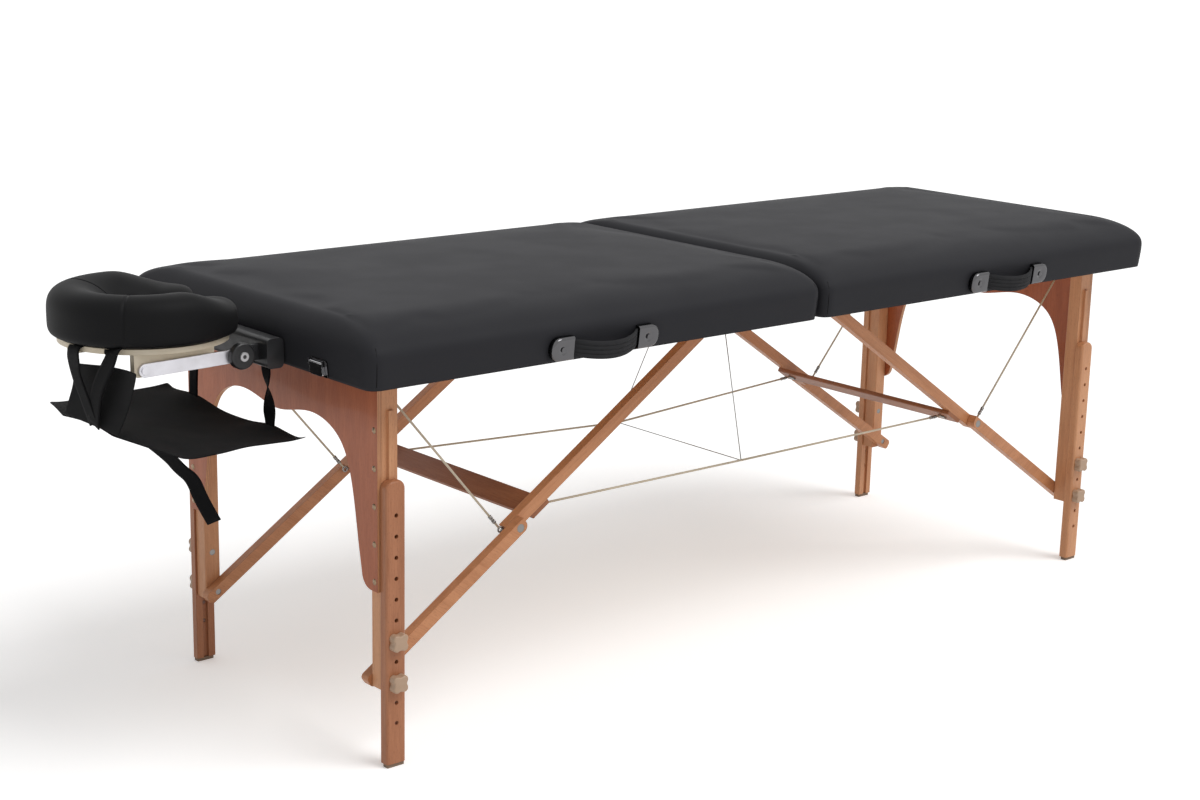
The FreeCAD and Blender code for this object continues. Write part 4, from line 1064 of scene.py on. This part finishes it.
slingRoutes = {
    "far": [(-1.2060, -0.027, 0.6600), (-1.2190, -0.028, 0.6604), (-1.2195, -0.026, 0.646),
            (-1.2085, -0.004, 0.618), (-1.2010, -0.020, 0.575), (-1.1950, -0.034, 0.540)],
    "near": [(-1.1800, -0.080, 0.6600), (-1.1900, -0.090, 0.6604), (-1.1945, -0.091, 0.646),
             (-1.2000, -0.062, 0.606), (-1.2000, -0.046, 0.572), (-1.1955, -0.034, 0.540)],
    "tail": [(-1.138, -0.096, 0.5165), (-1.108, -0.097, 0.490), (-1.090, -0.094, 0.468),
             (-1.072, -0.098, 0.452), (-1.058, -0.094, 0.418), (-1.037, -0.096, 0.378)],
}


def makePatch(name, along, across, size, place, finish):
    # A cloth patch: each point's place from its two shares, with a flat map in metres for the weave.
    bm = startGrid(along, across)
    flatMap = bm.loops.layers.uv.new("flat")
    shares = {vertex: ((vertex.co.x + 1) / 2, (vertex.co.y + 1) / 2) for vertex in bm.verts}
    for face in bm.faces:
        for loop in face.loops:
            u, v = shares[loop.vert]
            loop[flatMap].uv = (u * size[0], v * size[1])
    for vertex, (u, v) in shares.items():
        vertex.co = place(u, v)
    return finishPiece(name, bm, finish)


def between(rows, key):
    # Straight steps between the rows, found by the first number of each.
    for before, after in zip(rows, rows[1:]):
        if key <= after[0]:
            share = (key - before[0]) / (after[0] - before[0])
            return [a + (b - a) * share for a, b in zip(before, after)]
    return list(rows[-1])


def smoothRows(rows, key, column, reach=0.03):
    steps = [min(rows[-1][0], max(rows[0][0], key + reach * step / 4)) for step in range(-4, 5)]
    return sum(between(rows, step)[column] for step in steps) / len(steps)


def panelPlace(u, v):
    use = slingSettings
    rows = use["stations"]
    away = rows[0][0] + (rows[-1][0] - rows[0][0]) * u
    half = between(rows, away)[1]
    edge, middle = smoothRows(rows, away, 2), smoothRows(rows, away, 3)
    across = 2 * v - 1
    z = use["underside"] + edge + (middle - edge) * (1 - across * across)
    y = across * half
    x = use["endX"] - away
    for side in (-1, 1):
        gap = math.hypot(x - use["strapX"], y - side * use["strapY"]) / use["pullReach"]
        z += use["pull"] * math.exp(-gap * gap)
    fold = sum(noise.noise(Vector((x * along, y * wide, draw))) * high
               for along, wide, draw, high in use["folds"])
    tip = max(0.0, abs(across) - use["tipFrom"]) / (1 - use["tipFrom"]) * max(0.0, 1 - u / use["tipReach"])
    return Vector((x, y, z + fold + use["tipCurl"] * tip * tip))


def flapPlace(u, v):
    use = slingSettings
    (y0, z0), (y1, z1) = use["flapFoot"]
    foot = Vector((0, y0 + (y1 - y0) * u, z0 + (z1 - z0) * u))
    far, mid, near = use["flapHead"]
    if u < 0.5:
        head = Vector((0, *far)).lerp(Vector((0, *mid)), u * 2)
    else:
        head = Vector((0, *mid)).lerp(Vector((0, *near)), u * 2 - 1)
    place = foot.lerp(head, v)
    swing = use["flapBulge"] * math.sin(math.pi * v * use["flapTurn"])
    swing *= use["flapEdge"] + (1 - use["flapEdge"]) * math.sin(math.pi * u)
    along, wide, draw, high = use["flapRipple"]
    ripple = noise.noise(Vector((u * along, v * wide, draw))) * high * v
    return Vector((use["flapX"] + swing + ripple, place.y, use["underside"] + place.z))


def makeBand(name, points, width, turns=(0.0, 0.0), pinch=0.0):
    # A flat webbing band along a smooth line, turned about it from the first angle to the last.
    route = [vertex.co.copy() for vertex in smoothLine(points, 8).vertices]
    last = len(route) - 1
    length = sum((after - before).length for before, after in zip(route, route[1:]))
    across = Vector((0, 1, 0))

    def place(u, v):
        step = round(u * last)
        ahead = (route[min(step + 1, last)] - route[max(step - 1, 0)]).normalized()
        side = across - ahead * ahead.dot(across)
        share = u * u * (3 - 2 * u)
        angle = math.radians(turns[0] + (turns[1] - turns[0]) * share)
        side = Matrix.Rotation(angle, 3, ahead) @ side.normalized()
        narrow = 1 - pinch * math.sin(math.pi * u) ** 2
        return route[step] + side * (v - 0.5) * width * narrow

    piece = makePatch(name, last, 6, (length, width), place, "slingWebbing")
    addWall(piece, slingSettings["cloth"], 0.0)
    return piece, length


def makeSling():
    use = slingSettings
    stations = use["stations"]
    width, length = 2 * stations[0][1], stations[-1][0] - stations[0][0]
    panel = makePatch("arm_sling_panel", *use["panelGrid"], use["panelMap"], panelPlace, "slingCloth")
    flap = makePatch("arm_sling_flap", *use["flapGrid"], use["flapMap"], flapPlace, "slingCloth")
    for piece in (panel, flap):
        addWall(piece, use["cloth"], 0.0)
        addSubdivision(piece)
    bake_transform(panel)
    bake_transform(flap)
    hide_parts("arm_sling")
    for side in ("far", "near"):
        band, run = makeBand("arm_sling_yoke_" + side, slingRoutes[side], use["yokeWidth"])
        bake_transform(band)
    tail, run = makeBand("arm_sling_tail", slingRoutes["tail"], use["tailWidth"], use["tailTurns"])
    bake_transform(tail)
    for side, sign in sides.items():
        x, y, top = use["strapX"], sign * use["strapY"], use["strapTop"]
        foot = panelPlace((use["endX"] - x - stations[0][0]) / length, (y / stations[0][1] + 1) / 2).z
        points = [(x, y * share, top * (1 - drop) + foot * drop) for share, drop in use["strapPath"]]
        turns, pinch = ((0.0, 180.0), use["strapPinch"]) if side == "near" else ((0.0, 0.0), 0.0)
        band, run = makeBand("arm_sling_strap_" + side, points, use["strapWidth"], turns, pinch)
        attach(band, "cradle_mount")


makeSling()

# Suspension cables: stays at the ends, long cables drawn in at the middle, and thin ties

cableSettings = {
    "radius": 0.0019,
    "eye": (0.5909, 0.221, 0.3146),
    "eyeGap": 0.0062,
    "anchorGap": 0.0025,
    "anchor": (0.885, 0.221, 0.657),
    "staple": (0.5064, 0.203, 0.3360),
    "middle": (0.0, 0.168, 0.3211),
    "ferruleRadius": 0.0032,
    "ferruleLength": 0.016,
    "ferruleFromEnd": 0.012,
    "waist": 0.86,
    "tray": 0.6622,
    "keep": 0.002,
    "tieTray": (-0.016, 0.0, 0.6105),
    "tieFall": (-0.0554, 0.0, 0.9985),
    "tieKeep": 0.0005,
    "tieRadius": 0.0009,
    "tieHook": (-0.016, 0.6098),
    "tieTops": (-0.118, 0.010),
}


def addRod(bm, start, end, radius, segments=12):
    line = end - start
    place = Matrix.Translation((start + end) / 2) @ line.to_track_quat("Z", "Y").to_matrix().to_4x4()
    bmesh.ops.create_cone(bm, cap_ends=True, segments=segments, radius1=radius, radius2=radius,
                          depth=line.length, matrix=place)


def addFerrule(bm, start, end):
    # A crimped sleeve near the start of a cable, with a thinner waist pressed in.
    use = cableSettings
    line = (end - start).normalized()
    first = start + line * use["ferruleFromEnd"]
    third = use["ferruleLength"] / 3
    for step, share in enumerate((1.0, use["waist"], 1.0)):
        begin, finish = (first + line * third * count for count in (step, step + 1))
        addRod(bm, begin, finish, use["ferruleRadius"] * share)


def makeCables():
    use = cableSettings
    for half, sign in ends.items():
        cable, ferrule = bmesh.new(), bmesh.new()
        for side in sides.values():
            anchor, eye, staple, middle = (Vector((sign * use[key][0], side * use[key][1], use[key][2]))
                                           for key in ("anchor", "eye", "staple", "middle"))
            line = (anchor - eye).normalized()
            runs = [(eye + line * use["eyeGap"], anchor - line * use["anchorGap"]), (staple, middle)]
            for start, end in runs:
                addRod(cable, start, end, use["radius"])
                addFerrule(ferrule, start, end)
            addFerrule(ferrule, runs[0][1], runs[0][0])
        pieces = [finishPiece("cables_" + half, cable, "cableCoat", "half_" + half),
                  finishPiece("cable_ferrules_" + half, ferrule, "steel", "half_" + half)]
        for piece in pieces:
            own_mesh(piece)
        if half == "head":
            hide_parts("suspension_cables")
    ties = bmesh.new()
    middle = [Vector((0, side * use["middle"][1], use["middle"][2])) for side in (-1, 1)]
    hookX, hookZ = use["tieHook"]
    tops = [Vector((hookX, y, hookZ)) for y in use["tieTops"]]
    for start, end in (middle, *zip(middle, tops)):
        addRod(ties, start, end, use["tieRadius"], segments=8)
    piece = finishPiece("cable_tie_wires", ties, "steel", "half_head")
    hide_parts("cable_ties")
    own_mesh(piece)


makeCables()
print("sling and cables made")
